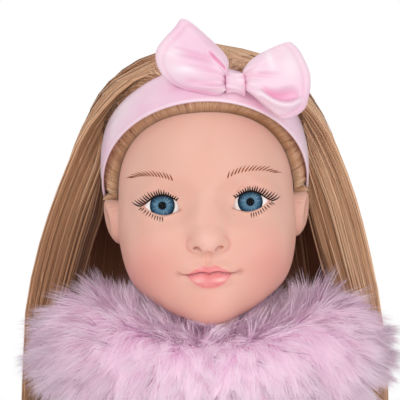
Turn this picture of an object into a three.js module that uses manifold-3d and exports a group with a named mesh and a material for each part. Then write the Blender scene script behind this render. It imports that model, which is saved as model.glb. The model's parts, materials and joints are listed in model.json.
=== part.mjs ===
// A 46 cm vinyl play doll, standing: hollow head on a ball neck, two-part body, strung limbs, long hair
// with a satin headband and bow, a fur gilet, a plain top, leggings and ankle boots.
// Millimetres, +Z up, the doll faces -Y and its left side is +X. The origin is on the floor under the middle
// of the doll's box.
import * as THREE from "three";
import { mergeVertices } from "three/addons/utils/BufferGeometryUtils.js";
import Module from "manifold-3d";

const wasm = await Module();
wasm.setup();

// Heights of the joints, from the floor up
const LEG_LENGTH = 205;
const HIP_TO_SHOULDER = 96;
const SHOULDER_TO_NECK = 23;
const NECK_TO_EYES = 69.5;
const HIP_Z = LEG_LENGTH;
const SHOULDER_Z = HIP_Z + HIP_TO_SHOULDER;
const NECK_Z = SHOULDER_Z + SHOULDER_TO_NECK;

// Clearances and cloth
const GAP = 0.3;
const RUNNING_GAP = 0.6;
const BALL_GAP = 1;
const CLOTH = 1.2;
const CLOTH_OUT = GAP + CLOTH;
const PELT = 3.2;
const FUR_FRONT = 7.5;

// Joints
const SHOULDER_SPREAD = 57;
const SHOULDER_BALL = 14;
const HIP_SPREAD = 29;
const HIP_BALL = 22;
const HIP_FORWARD_DEG = 90;
const HIP_BACK_DEG = 12;
const NECK_Y = 3;
const NECK_BALL = 13.5;
const NECK_STEM = 11.5;
const NECK_LIP = 5;
const NECK_FLANGE = 14;
const NECK_FLANGE_DEEP = 3;
const HEAD_ROLL_DEG = 2.5;

// Stringing
const ARM_CORD = 2;
const ARM_KNOB = 4.5;
const LEG_CORD = 2.6;
const LEG_KNOB = 5.5;
const KNOB_LONG = 6;

// Body shell and its screws
const TORSO_WALL = 3;
const CAVITY_FLOOR = HIP_Z + 30;
const CAVITY_TOP = SHOULDER_Z + 9;
const SCREW = 1.4;
const SCREW_HEAD = 2.8;
const SCREW_HEAD_DEEP = 2;
const SCREW_SINK = 1.6;
const SCREW_POST = 4.6;
const SCREW_REACH = 12;
const SCREW_X = 21;
const SCREW_LOW_Z = HIP_Z + 45;
const SCREW_HIGH_Z = SHOULDER_Z - 22;

// Head, measured from the middle of the line through the eyes
const HEAD_WALL = 3.5;
const HEAD_NECK_Y = 6;
const NECK_RING = 16.5;
const NECK_RING_LOW = -50;
const NECK_RING_HIGH = -28;
const EYE_SPREAD = 18.7;
const EYE_DEEP = -26.5;
const EYE_BALL = 10.5;
const LID = 1.6;
const EYE_OPEN_WIDE = 15.8;
const EYE_OPEN_HIGH = 8.8;
const IRIS = 5.1;
const IRIS_THICK = 0.8;
const CORNEA_BULGE = 1.1;

// Hair, headband and bow
const HAIR_DEEP = 4.3;
const HAIR_EDGE = 1.6;
const HAIR_TOP = 5.5;
const HAIR_ROOM = 1.8;
const BAND_WIDE = 20;
const BAND_LEAN_DEG = 40.8;
const BAND_Y = 6.5;
const BAND_Z = 15.6;
const FALL_THICK = 7;
const FALL_SPLIT_DEG = 52;
const LOCK_DEEP = 1.1;
const FALL_ROOM = 1.2;
const FALL_SAG = 0.3;
const FALL_THIN = 2.4;
const BOW_X = 12.3;
const BOW_Z = 51.3;
const BOW_LOOP_LONG = 31;
const BOW_KNOT_WIDE = 7.4;
const BOW_KNOT_HIGH = 10;
const BOW_THICK = 11;

// Gilet, top, leggings and boots
const GILET_HEM = HIP_Z + 36;
const GILET_TOP = SHOULDER_Z + 23;
const ARMHOLE = 19.5;
const SEAT_TOP = HIP_Z + 29;
const SEAT_LOW = HIP_Z - 12;
const TOP_HIGH = SHOULDER_Z + 24;
const COLLAR_LOW = SHOULDER_Z + 18.5;
const COLLAR_BORE = 21.5;
const COLLAR_NECK_Z = NECK_Z + 6;
const COLLAR_BOWL_Z = NECK_Z + 10.5;
const COLLAR_OPEN_DEG = 1.2;
const LEGGING_TOP = HIP_Z + 15;
const SOLE_THICK = 6.7;
const SOLE_RIM = 4.6;
const BOOT_HIGH = 82;
const BOOT_WALL = 2.6;
const BOOT_ROOM = 0.6;

// Materials
const paint = (color, roughness) => new THREE.MeshStandardMaterial({ color, roughness, metalness: 0 });
const vinyl = paint(0xe9b09c, 0.5);
const eyeWhite = paint(0xf2efec, 0.2);
const irisBlue = paint(0x4b7da5, 0.3);
const clear = paint(0xffffff, 0.05);
const hair = paint(0xb98d5c, 0.55);
const satin = paint(0xefc8e0, 0.35);
const fur = paint(0xd9a9d6, 0.95);
const bodyPlastic = paint(0xe3b39c, 0.5);
const steel = new THREE.MeshStandardMaterial({ color: 0xb5b5b5, roughness: 0.35, metalness: 1 });
const elastic = paint(0xf0ece6, 0.9);
const jersey = paint(0xf4e3ec, 0.85);
const leggingCloth = paint(0x8d7fa8, 0.9);
const bootLeather = paint(0xcf9fc4, 0.6);
const soleRubber = paint(0xefe6e2, 0.8);

const point = (x, y, z) => new THREE.Vector3(x, y, z);
const mix = THREE.MathUtils.lerp;
const radians = THREE.MathUtils.degToRad;
const steps = (count) => Array.from({ length: count }, (_, i) => i);

// Closed geometry from rows of points. Each row is a closed ring, and the ends are closed by strips.
function ringSolid(rows, rowsClosed = false) {
  const wide = rows[0].length;
  const index = [];
  const quad = (a, b, c, d) => index.push(a, b, c, c, b, d);
  const joints = rowsClosed ? rows.length : rows.length - 1;
  for (const r of steps(joints)) {
    const low = r * wide;
    const high = ((r + 1) % rows.length) * wide;
    for (const i of steps(wide)) {
      const next = (i + 1) % wide;
      quad(low + i, low + next, high + i, high + next);
    }
  }
  if (!rowsClosed) {
    const top = (rows.length - 1) * wide;
    for (const i of steps(wide / 2 - 1)) {
      quad(wide - 1 - i, wide - 2 - i, i, i + 1);
      quad(top + i, top + i + 1, top + wide - 1 - i, top + wide - 2 - i);
    }
  }
  const geometry = new THREE.BufferGeometry().setFromPoints(rows.flat());
  geometry.setIndex(index);
  return facingOut(geometry);
}

// A tube wall between an outer and an inner set of rings
const wallSolid = (outer, inner) => ringSolid([...outer, ...[...inner].reverse()], true);

// A sheet between two grids of points with the same rows and columns
const sheetSolid = (outer, inner) =>
  ringSolid(outer.map((row, i) => [...row, ...[...inner[i]].reverse()]));

// Turns the faces round where the enclosed volume comes out negative
function facingOut(geometry) {
  const at = geometry.getAttribute("position");
  const corner = [point(), point(), point()];
  const index = geometry.index.array;
  let volume = 0;
  for (let i = 0; i < index.length; i += 3) {
    corner.forEach((c, k) => c.fromBufferAttribute(at, index[i + k]));
    volume += corner[0].dot(corner[1].clone().cross(corner[2]));
  }
  if (volume < 0) {
    for (let i = 0; i < index.length; i += 3) [index[i + 1], index[i + 2]] = [index[i + 2], index[i + 1]];
  }
  return geometry;
}

function solidOf(geometry) {
  const bare = geometry.clone();
  bare.deleteAttribute("normal");
  bare.deleteAttribute("uv");
  const merged = mergeVertices(bare, 1e-4);
  return new wasm.Manifold(
    new wasm.Mesh({
      numProp: 3,
      vertProperties: new Float32Array(merged.attributes.position.array),
      triVerts: new Uint32Array(merged.index.array),
    }),
  );
}

function geometryOf(solid) {
  const made = solid.getMesh();
  const geometry = new THREE.BufferGeometry();
  geometry.setAttribute("position", new THREE.BufferAttribute(made.vertProperties, 3));
  geometry.setIndex(new THREE.BufferAttribute(made.triVerts, 1));
  return geometry;
}

const cut = (base, ...tools) =>
  geometryOf(tools.reduce((made, tool) => made.subtract(solidOf(tool)), solidOf(base)));
const join = (base, ...more) =>
  geometryOf(more.reduce((made, piece) => made.add(solidOf(piece)), solidOf(base)));
const common = (base, other) => geometryOf(solidOf(base).intersect(solidOf(other)));

const ball = (centre, radius, around = 20, up = 14) =>
  new THREE.SphereGeometry(radius, around, up).translate(centre.x, centre.y, centre.z);

// A straight rod between two points
function rod(from, to, radius, sides = 16, endRadius = radius) {
  const along = to.clone().sub(from);
  const geometry = new THREE.CylinderGeometry(endRadius, radius, along.length(), sides);
  geometry.translate(0, along.length() / 2, 0);
  geometry.applyQuaternion(new THREE.Quaternion().setFromUnitVectors(point(0, 1, 0), along.normalize()));
  return geometry.translate(from.x, from.y, from.z);
}

function block(low, high) {
  const size = high.clone().sub(low);
  const middle = low.clone().add(high).multiplyScalar(0.5);
  return new THREE.BoxGeometry(size.x, size.y, size.z).translate(middle.x, middle.y, middle.z);
}

const BIG = 600;
const frontHalf = (y) => block(point(-BIG, -BIG, -BIG), point(BIG, y, BIG));
const backHalf = (y) => block(point(-BIG, y, -BIG), point(BIG, BIG, BIG));
const leftHalf = (x) => block(point(x, -BIG, -BIG), point(BIG, BIG, BIG));
const rightHalf = (x) => block(point(-BIG, -BIG, -BIG), point(x, BIG, BIG));

function named(name, geometry, material) {
  const mesh = new THREE.Mesh(geometry, material);
  mesh.name = name;
  return mesh;
}

// A level ring: a slightly squared ellipse
const SQUARENESS = 2.3;
function levelRing(centreX, centreY, z, halfX, halfY, sides, power = SQUARENESS) {
  const bend = (value) => Math.sign(value) * Math.abs(value) ** (2 / power);
  return steps(sides).map((i) => {
    const turn = ((i + 0.5) / sides) * Math.PI * 2;
    return point(centreX + halfX * bend(Math.cos(turn)), centreY + halfY * bend(Math.sin(turn)), z);
  });
}

// Reads a list of stations, each led by its height, at any height between them
function stationReader(stations) {
  const last = stations.length - 1;
  const read = (z) => {
    const i = THREE.MathUtils.clamp(stations.findIndex((s) => s[0] >= z), 1, last);
    const [a, b] = [stations[i - 1], stations[z > stations[last][0] ? last : i]];
    const share = THREE.MathUtils.clamp((z - a[0]) / (b[0] - a[0]), 0, 1);
    return a.slice(1).map((value, k) => mix(value, b[k + 1], share));
  };
  // The heights at which a piece that follows the stations has a ring
  read.between = (low, high) => [low, ...stations.map((s) => s[0]).filter((z) => z > low && z < high), high];
  return read;
}

const levels = (low, high, count) => steps(count).map((i) => mix(low, high, i / (count - 1)));

// Body: half-width and half-depth by height
const torsoAt = stationReader([
  [HIP_Z - 18, 9, 9],
  [HIP_Z - 14, 26, 17],
  [HIP_Z - 8, 37, 23],
  [HIP_Z + 1, HIP_SPREAD + 14.5, 27],
  [HIP_Z + 9, HIP_SPREAD + 16, 28],
  [HIP_Z + 21, HIP_SPREAD + 14, 27.5],
  [HIP_Z + 35, 38, 25.5],
  [HIP_Z + 47, 36, 24.5],
  [SHOULDER_Z - 36, 37.2, 25],
  [SHOULDER_Z - 21, SHOULDER_SPREAD - 17.4, 26.5],
  [SHOULDER_Z - 9, SHOULDER_SPREAD - 16.6, 27],
  [SHOULDER_Z + 1, SHOULDER_SPREAD - 16.4, 26],
  [SHOULDER_Z + 10, SHOULDER_SPREAD - 18.5, 23.5],
  [SHOULDER_Z + 17, SHOULDER_SPREAD - 24, 21],
  [SHOULDER_Z + 23, 24.5, 18.5],
  [NECK_Z + NECK_LIP, 17.5, 17],
]);
const TORSO_SIDES = 18;
const torsoRing = (z, outX = 0, outY = outX) => {
  const [halfX, halfY] = torsoAt(z);
  return levelRing(0, NECK_Y * 0.5, z, halfX + outX, halfY + outY, TORSO_SIDES);
};
const torsoWall = (low, high, inner, outer) =>
  wallSolid(
    torsoAt.between(low, high).map((z) => torsoRing(z, ...outer)),
    torsoAt.between(low, high).map((z) => torsoRing(z, ...inner)),
  );

const sides = [
  { name: "left", sign: 1 },
  { name: "right", sign: -1 },
];
const shoulderOf = (sign) => point(sign * SHOULDER_SPREAD, 0, SHOULDER_Z);
const hipOf = (sign) => point(sign * HIP_SPREAD, 0, HIP_Z);
const neckBall = point(0, NECK_Y, NECK_Z);

// The room that a shoulder ball with its sleeve needs
const shoulderRoom = (sign) => ball(shoulderOf(sign), SHOULDER_BALL + CLOTH_OUT + BALL_GAP, 14, 8);

// The room that a thigh with its legging sweeps from its back limit to its front limit
function hipRoom(sign) {
  const hip = hipOf(sign);
  const radius = HIP_BALL + CLOTH_OUT + BALL_GAP;
  const reach = 70;
  const aim = (degrees) =>
    point(0, -Math.sin(radians(degrees)), -Math.cos(radians(degrees))).multiplyScalar(reach).add(hip);
  const fan = levels(-HIP_BACK_DEG, HIP_FORWARD_DEG, 5).map(aim);
  const wedge = (x) => [hip, ...fan].map((p) => point(hip.x + x, p.y, p.z));
  const sector = ringSolid([wedge(-radius), wedge(radius)]);
  return join(
    ball(hip, radius, 16, 8),
    rod(hip, aim(HIP_FORWARD_DEG), radius, 16),
    rod(hip, aim(-HIP_BACK_DEG), radius, 16),
    sector,
  );
}

const screwPlaces = [-1, 1].flatMap((sign) =>
  [SCREW_LOW_Z, SCREW_HIGH_Z].map((z) => point(sign * SCREW_X, 0, z)),
);

// Where the back of the body lies at a place
function backOf(place) {
  const [halfX, halfY] = torsoAt(place.z);
  const share = Math.abs(place.x) / halfX;
  return NECK_Y * 0.5 + halfY * (1 - share ** SQUARENESS) ** (1 / SQUARENESS);
}

// The hole across the body that an elastic runs through
const cordHole = (z, cord) => rod(point(-BIG, 0, z), point(BIG, 0, z), cord + RUNNING_GAP, 10);

function makeTorso() {
  const outer = ringSolid(torsoAt.between(HIP_Z - 18, NECK_Z + NECK_LIP).map((z) => torsoRing(z)));
  const hollow = ringSolid(torsoAt.between(CAVITY_FLOOR, CAVITY_TOP).map((z) => torsoRing(z, -TORSO_WALL)));
  const posts = screwPlaces.map((p) => rod(point(p.x, -BIG, p.z), point(p.x, BIG, p.z), SCREW_POST, 8));
  const insidePosts = posts.map((post) => common(post, outer));
  const neckWay = rod(point(0, NECK_Y, CAVITY_TOP - 2), neckBall, NECK_STEM * 0.8, 12);
  const whole = cut(
    join(cut(outer, hollow), ...insidePosts),
    ball(neckBall, NECK_BALL + GAP, 16, 10),
    neckWay,
    cordHole(SHOULDER_Z, ARM_CORD),
    cordHole(HIP_Z, LEG_CORD),
    ...sides.flatMap(({ sign }) => [shoulderRoom(sign), hipRoom(sign)]),
    ...screwPlaces.flatMap((p) => {
      const seat = backOf(p) - SCREW_SINK - SCREW_HEAD_DEEP - GAP;
      return [
        rod(point(p.x, -SCREW_REACH - GAP, p.z), point(p.x, BIG, p.z), SCREW + GAP, 8),
        rod(point(p.x, seat, p.z), point(p.x, BIG, p.z), SCREW_HEAD + GAP, 8),
      ];
    }),
  );
  return [
    named("torso_front_shell", cut(whole, backHalf(-GAP / 2)), bodyPlastic),
    named("torso_back_shell", cut(whole, frontHalf(GAP / 2)), bodyPlastic),
  ];
}

function makeScrews() {
  return screwPlaces.map((p, i) => {
    const top = backOf(p) - SCREW_SINK;
    const under = top - SCREW_HEAD_DEEP;
    const shank = rod(point(p.x, -SCREW_REACH, p.z), point(p.x, under + 0.5, p.z), SCREW, 8);
    const head = rod(point(p.x, under, p.z), point(p.x, top, p.z), SCREW_HEAD, 10);
    return named(`torso_screw_${i + 1}`, join(head, shank), steel);
  });
}

// Elastic with a knob in each limb
function makeElastic(name, z, spread, cord, knob) {
  const end = spread + KNOB_LONG / 2;
  const geometry = join(
    rod(point(-spread, 0, z), point(spread, 0, z), cord, 12),
    ...[-1, 1].map((sign) =>
      rod(point(sign * (end - KNOB_LONG), 0, z), point(sign * end, 0, z), knob, 12),
    ),
  );
  return named(name, geometry, elastic);
}

// The bore and the chamber that a limb holds for its elastic
function stringing(sign, z, spread, cord, knob) {
  const inward = sign * (spread - KNOB_LONG / 2 - RUNNING_GAP);
  const outward = sign * (spread + KNOB_LONG / 2 + RUNNING_GAP);
  return [
    rod(point(0, 0, z), point(sign * spread, 0, z), cord + RUNNING_GAP, 10),
    rod(point(inward, 0, z), point(outward, 0, z), knob + RUNNING_GAP, 10),
  ];
}

// Limb rings: centre offset sideways and forward from the joint, then half-width and half-depth
function limbRings(at, low, high, sign, joint, out, count) {
  return at.between(low, high).map((z) => {
    const [sideways, back, halfX, halfY] = at(z);
    return levelRing(joint.x + sign * sideways, back, z, halfX + out, halfY + out, count, 2);
  });
}

const BALL_LEVELS = [75, 52, 32, 14];
const ballStations = (z, radius) =>
  BALL_LEVELS.map((a) => [
    z + radius * Math.sin(radians(a)),
    0,
    0,
    radius * Math.cos(radians(a)),
    radius * Math.cos(radians(a)),
  ]);
const upward = (stations) => [...stations].sort((a, b) => a[0] - b[0]);

const ballTop = (z, radius) => z + radius * Math.sin(radians(BALL_LEVELS[0]));
const ARM_SIDES = 10;
const LEG_SIDES = 14;
const WRIST_Z = SHOULDER_Z - 104;
const CUFF_Z = WRIST_Z + 2;
const PALM_LONG = 28;
const SLEEVE_COVER = 0.75;
const armAt = stationReader(
  upward([
    ...ballStations(SHOULDER_Z, SHOULDER_BALL),
    [SHOULDER_Z, 0, 0, SHOULDER_BALL, SHOULDER_BALL],
    [SHOULDER_Z - 12, 1.2, 0, 12.6, 12.8],
    [SHOULDER_Z - 28, 4, 0, 11.4, 11.8],
    [SHOULDER_Z - 54, 8, -1.5, 9.8, 10.4],
    [SHOULDER_Z - 68, 9.6, -4, 10, 10.4],
    [SHOULDER_Z - 86, 11.4, -8, 8.6, 9],
    [WRIST_Z, 13, -12.5, 6.2, 7],
    [WRIST_Z - 9, 13.8, -14.5, 6, 8.6],
    [WRIST_Z - 21, 14.4, -17, 5.6, 9.8],
    [WRIST_Z - PALM_LONG, 14.6, -18.4, 4.6, 8.8],
  ]),
);

const FINGER_LONG = 15;
const FINGERS = 4;
const FINGER_PITCH = 4.3;
const FINGER_THICK = 2.3;
const THUMB_THICK = 2.9;

function makeFingers(sign) {
  const shoulder = shoulderOf(sign);
  const [sideways, back] = armAt(WRIST_Z - 24);
  const knuckle = point(shoulder.x + sign * sideways, back, WRIST_Z - 24);
  const fingers = steps(FINGERS).map((i) => {
    const across = (i - (FINGERS - 1) / 2) * FINGER_PITCH;
    const from = knuckle.clone().add(point(0, across, 0));
    const long = FINGER_LONG - 1.2 * Math.abs(i - 1.2);
    const to = from.clone().add(point(-sign * 2.5, across * 0.12 - 3, -long));
    return rod(from, to, FINGER_THICK, 6, FINGER_THICK * 0.7);
  });
  const thumbFrom = knuckle.clone().add(point(0, -5, 11));
  const thumbTo = thumbFrom.clone().add(point(-sign * 1.5, -9, -9));
  return [...fingers, rod(thumbFrom, thumbTo, THUMB_THICK, 6, THUMB_THICK * 0.7)];
}

function makeArm({ name, sign }) {
  const shoulder = shoulderOf(sign);
  const rings = (low, high, out) => limbRings(armAt, low, high, sign, shoulder, out, ARM_SIDES);
  const limb = ringSolid(rings(WRIST_Z - PALM_LONG, ballTop(SHOULDER_Z, SHOULDER_BALL), 0));
  const strung = stringing(sign, SHOULDER_Z, SHOULDER_SPREAD, ARM_CORD, ARM_KNOB);
  const sleeveTop = SHOULDER_Z + SHOULDER_BALL * SLEEVE_COVER;
  const sleeve = wallSolid(rings(CUFF_Z, sleeveTop, CLOTH_OUT), rings(CUFF_Z, sleeveTop, GAP));
  return [
    named(`${name}_arm`, cut(join(limb, ...makeFingers(sign)), ...strung), vinyl),
    named(`${name}_sleeve`, cut(sleeve, strung[0]), jersey),
  ];
}

const FOOT_Z = SOLE_THICK + GAP;
const legAt = stationReader(
  upward([
    ...ballStations(HIP_Z, HIP_BALL),
    [HIP_Z, 0, 0, HIP_BALL, HIP_BALL],
    [HIP_Z - 18, -0.4, 0, 20.6, 21],
    [HIP_Z - 42, -1.2, 0, 18.6, 19.4],
    [HIP_Z - 70, -2, 0, 16, 16.6],
    [HIP_Z - 86, -2.4, 0.4, 15.4, 16],
    [HIP_Z - 106, -2.8, 1.6, 15.4, 16.4],
    [FOOT_Z + 64, -3.2, 1, 12.4, 13],
    [FOOT_Z + 38, -3.4, 0, 10.6, 11.4],
    [FOOT_Z + 25, -3.4, -2, 10.8, 14],
    [FOOT_Z + 16, -3.4, -7, 11.8, 21],
    [FOOT_Z + 6, -3.4, -11, 12.8, 28],
    [FOOT_Z, -3.4, -11, 12.4, 28.5],
  ]),
);

function makeLeg({ name, sign }) {
  const hip = hipOf(sign);
  const strung = stringing(sign, HIP_Z, HIP_SPREAD, LEG_CORD, LEG_KNOB);
  const rings = (low, high, out) => limbRings(legAt, low, high, sign, hip, out, LEG_SIDES);
  const limb = ringSolid(rings(FOOT_Z, ballTop(HIP_Z, HIP_BALL), 0));
  const cuff = BOOT_HIGH + GAP;
  const legging = wallSolid(rings(cuff, LEGGING_TOP, CLOTH_OUT), rings(cuff, LEGGING_TOP, GAP));
  const boot = wallSolid(rings(FOOT_Z, BOOT_HIGH, BOOT_ROOM + BOOT_WALL), rings(FOOT_Z, BOOT_HIGH, BOOT_ROOM));
  const soleRings = [0, SOLE_THICK].map((z) => {
    const [sideways, back, halfX, halfY] = legAt(FOOT_Z);
    const x = hip.x + sign * sideways;
    return levelRing(x, back, z, halfX + SOLE_RIM, halfY + SOLE_RIM, 28, 2.2);
  });
  return [
    named(`${name}_leg`, cut(limb, ...strung), vinyl),
    named(`${name}_legging`, cut(legging, strung[0]), leggingCloth),
    named(`${name}_boot`, boot, bootLeather),
    named(`${name}_sole`, ringSolid(soleRings), soleRubber),
  ];
}

function makeClothes() {
  const armRoom = sides.map(({ sign }) => shoulderRoom(sign));
  const armholes = rod(point(-BIG, 0, SHOULDER_Z), point(BIG, 0, SHOULDER_Z), ARMHOLE, 24);
  const shirt = torsoWall(SEAT_TOP + GAP, TOP_HIGH, [GAP], [CLOTH_OUT]);
  const top = cut(shirt, ...armRoom, cordHole(SHOULDER_Z, ARM_CORD));
  const seat = cut(
    torsoWall(SEAT_LOW, SEAT_TOP, [GAP], [CLOTH_OUT]),
    ...sides.map(({ sign }) => hipRoom(sign)),
  );
  const inside = CLOTH_OUT + GAP;
  const pelt = cut(
    torsoWall(GILET_HEM, GILET_TOP, [inside], [inside + PELT, inside + FUR_FRONT]),
    armholes,
  );
  const front = cut(pelt, backHalf(-GAP / 2));
  return [
    named("top_body", top, jersey),
    named("leggings_seat", seat, leggingCloth),
    named("gilet_back", cut(pelt, frontHalf(GAP / 2)), fur),
    named("gilet_left_front", cut(front, rightHalf(GAP / 2)), fur),
    named("gilet_right_front", cut(front, leftHalf(-GAP / 2)), fur),
  ];
}

// Fur collar by degrees from straight ahead: radius and height of its lip, and its outer radius
const collarAt = stationReader([
  [0, 50, NECK_Z + 14.5, 54],
  [30, 53, NECK_Z + 14.5, 60],
  [60, 57.5, NECK_Z + 23, 70],
  [80, 58, NECK_Z + 32, 75],
  [92, 57, NECK_Z + 33.5, 75],
  [105, 54.5, NECK_Z + 32, 62],
  [130, 47.5, NECK_Z + 30.5, 53],
  [180, 41, NECK_Z + 30, 47],
]);

// One section of the collar: up its inner side from the gilet to the lip, then down its outer side
function collarSection(degrees) {
  const [lip, lipZ, outer] = collarAt(Math.abs(degrees));
  const ahead = radians(degrees);
  const at = (radius, z) => point(radius * Math.sin(ahead), NECK_Y * 0.5 - radius * Math.cos(ahead), z);
  const gilet = (z) => {
    const [halfX, halfY] = torsoAt(z);
    const x = halfX + CLOTH_OUT + GAP + PELT + RUNNING_GAP;
    const y = halfY + CLOTH_OUT + GAP + FUR_FRONT + RUNNING_GAP;
    const across = Math.abs(Math.sin(ahead) / x) ** SQUARENESS;
    return (across + Math.abs(Math.cos(ahead) / y) ** SQUARENESS) ** (-1 / SQUARENESS);
  };
  const foot = gilet(COLLAR_LOW);
  const rise = (share) => mix(COLLAR_LOW, lipZ, share);
  return [
    at(foot + RUNNING_GAP, COLLAR_LOW),
    at(gilet(GILET_TOP) + RUNNING_GAP, GILET_TOP + RUNNING_GAP),
    at(COLLAR_BORE, COLLAR_NECK_Z),
    at(lip * 0.75, mix(COLLAR_NECK_Z, Math.min(lipZ, COLLAR_BOWL_Z), 0.6)),
    at(lip, Math.min(lipZ, COLLAR_BOWL_Z)),
    at(lip + 1.5, lipZ),
    at(mix(lip, outer, 0.5), lipZ + 1.2),
    at(mix(lip, outer, 0.85), rise(0.78)),
    at(outer, rise(0.5)),
    at(outer - 0.5, rise(0.22)),
    at(outer - 3, COLLAR_LOW),
    at(mix(foot, outer, 0.5), COLLAR_LOW),
  ];
}

const COLLAR_SECTIONS = 27;
const makeCollar = () =>
  named(
    "gilet_collar",
    ringSolid(levels(COLLAR_OPEN_DEG, 360 - COLLAR_OPEN_DEG, COLLAR_SECTIONS).map((turn) =>
      collarSection(turn > 180 ? turn - 360 : turn),
    )),
    fur,
  );

// Head form: ellipsoids run together. Distances are in the head's own frame, from the eye line.
function ellipsoid(p, centre, half) {
  const q = [0, 1, 2].map((k) => (p.getComponent(k) - centre[k]) / half[k]);
  const near = Math.hypot(...q);
  const slope = Math.hypot(...q.map((value, k) => value / half[k]));
  return slope > 0 ? (near * (near - 1)) / slope : -Math.min(...half);
}
const runTogether = (a, b, soft) => {
  const share = Math.max(soft - Math.abs(a - b), 0) / soft;
  return Math.min(a, b) - share * share * soft * 0.25;
};
const hollowOut = (a, b, soft) => -runTogether(-a, b, soft);
const mirrored = (p) => point(Math.abs(p.x), p.y, p.z);

const skull = (p) =>
  runTogether(
    ellipsoid(p, [0, 4, 14], [38.6, 48, 47.5]),
    ellipsoid(p, [0, -10, -14], [36.6, 34, 37.3]),
    10,
  );

function face(p) {
  const m = mirrored(p);
  let d = skull(p);
  d = runTogether(d, ellipsoid(m, [19, -29, -20], [13, 12.5, 12]), 10);
  d = runTogether(d, ellipsoid(p, [0, -27, -35], [21, 16, 15.5]), 12);
  d = runTogether(d, ellipsoid(p, [0, -35.5, -43.5], [9, 8, 7]), 8);
  d = hollowOut(d, ellipsoid(m, [EYE_SPREAD - 1, -46, 1], [13, 7, 8]), 6);
  d = runTogether(d, ellipsoid(p, [0, -40.5, -7], [4.6, 5, 12]), 5);
  d = runTogether(d, ellipsoid(p, [0, -46, -14.6], [5.6, 5.6, 5]), 4);
  d = runTogether(d, ellipsoid(m, [5.4, -42.5, -16.6], [4, 4.6, 3.8]), 3);
  d = runTogether(d, ellipsoid(p, [0, -42.6, -27], [9.6, 3.4, 2.6]), 2.5);
  d = runTogether(d, ellipsoid(p, [0, -42.4, -32], [8.4, 3.6, 3]), 2.5);
  d = runTogether(d, ellipsoid(m, [EYE_SPREAD, EYE_DEEP, 0], Array(3).fill(EYE_BALL + LID)), 3);
  return runTogether(d, ellipsoid(m, [40.2, 4, -7.5], [4.6, 7.6, 10.7]), 2.5);
}

const HEAD_MIDDLE = point(0, 4, 2);
const REACH_STEPS = 34;
const HEAD_REACH = 110;

// The place along a ray where a form, swollen by out, ends
function surfaceOn(form, from, aim, out) {
  let [near, far] = [0, HEAD_REACH];
  for (const _ of steps(REACH_STEPS)) {
    const middle = (near + far) / 2;
    if (form(from.clone().addScaledVector(aim, middle)) < out) near = middle;
    else far = middle;
  }
  return from.clone().addScaledVector(aim, near);
}

// Azimuth 0 is straight ahead and grows towards the doll's left
function aimAt(azimuth, elevation) {
  const level = Math.cos(elevation);
  return point(level * Math.sin(azimuth), -level * Math.cos(azimuth), Math.sin(elevation));
}

const POLE = radians(86);
function starSolid(form, out, around, elevations, frontBias) {
  const rings = elevations.map((elevation) =>
    steps(around).map((i) => {
      const turn = ((i + 0.5) / around) * Math.PI * 2;
      return surfaceOn(form, HEAD_MIDDLE, aimAt(turn - frontBias * Math.sin(turn), elevation), out);
    }),
  );
  return ringSolid(rings);
}

// An almond seen from the front, run through the face
function eyeOpening(sign) {
  const corner = EYE_OPEN_WIDE / 2;
  const half = EYE_OPEN_HIGH / 2;
  const edge = (share) => half * (1 - share * share) ** 0.75;
  const across = levels(-1, 1, 9);
  const upper = across.map((share) => new THREE.Vector2(corner * share, edge(share)));
  const lower = across.slice(1, -1).reverse().map((share) => new THREE.Vector2(corner * share, -edge(share)));
  const shape = new THREE.Shape([...upper, ...lower]);
  const prism = new THREE.ExtrudeGeometry(shape, { depth: 40, bevelEnabled: false }).rotateX(Math.PI / 2);
  return prism.translate(sign * EYE_SPREAD, EYE_DEEP, 0);
}

const eyeOf = (sign) => point(sign * EYE_SPREAD, EYE_DEEP, 0);
const upright = (low, high, radius) =>
  rod(point(0, HEAD_NECK_Y, low), point(0, HEAD_NECK_Y, high), radius, 16);

function makeHead() {
  const jaw = radians(-56);
  const brow = radians(9);
  const rows = [...levels(-POLE, jaw, 4), ...levels(jaw, brow, 19).slice(1), ...levels(brow, POLE, 8).slice(1)];
  const outer = starSolid(face, 0, 36, rows, 0.72);
  const hollow = starSolid(skull, -HEAD_WALL, 16, levels(-POLE, POLE, 10), 0);
  const neckRing = upright(NECK_RING_LOW, NECK_RING_HIGH, NECK_RING);
  const shell = cut(
    join(cut(outer, hollow), neckRing),
    upright(NECK_RING_LOW - BIG, NECK_RING_HIGH + 1, NECK_STEM + GAP),
    ...sides.flatMap(({ sign }) => [ball(eyeOf(sign), EYE_BALL + GAP, 16, 10), eyeOpening(sign)]),
  );
  return [named("head_shell", shell, vinyl)];
}

// The eye's pieces are turned about its own forward line
function makeEye({ name, sign }) {
  const centre = eyeOf(sign);
  const floor = Math.sqrt(EYE_BALL ** 2 - (IRIS + GAP) ** 2) - IRIS_THICK;
  const forward = (radius, from, to) =>
    rod(
      centre.clone().add(point(0, -from, 0)),
      centre.clone().add(point(0, -to, 0)),
      radius,
      12,
    );
  const white = cut(ball(centre, EYE_BALL, 14, 8), forward(IRIS + GAP, floor - GAP, EYE_BALL + 2));
  const iris = forward(IRIS, floor, floor + IRIS_THICK);
  const base = floor + IRIS_THICK + GAP;
  const dome = levels(0, 1, 4).map(
    (share) => new THREE.Vector2(IRIS * share, base + CORNEA_BULGE * (1 - share * share) + 0.05),
  );
  const profile = [new THREE.Vector2(0, base), new THREE.Vector2(IRIS, base), ...dome.reverse()];
  const cornea = facingOut(new THREE.LatheGeometry(profile, 12)).rotateX(Math.PI);
  cornea.translate(centre.x, centre.y, centre.z);
  return [
    named(`${name}_eye_white`, white, eyeWhite),
    named(`${name}_iris`, iris, irisBlue),
    named(`${name}_cornea`, cornea, clear),
  ];
}

// The hairline as degrees of elevation by degrees from straight ahead
const hairlineAt = stationReader([
  [0, 39],
  [27, 36],
  [42, 31],
  [52, 21],
  [61, 11],
  [68, 6.5],
  [104, 6.5],
  [116, -24],
  [128, -42],
  [180, -48],
]);

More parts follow.
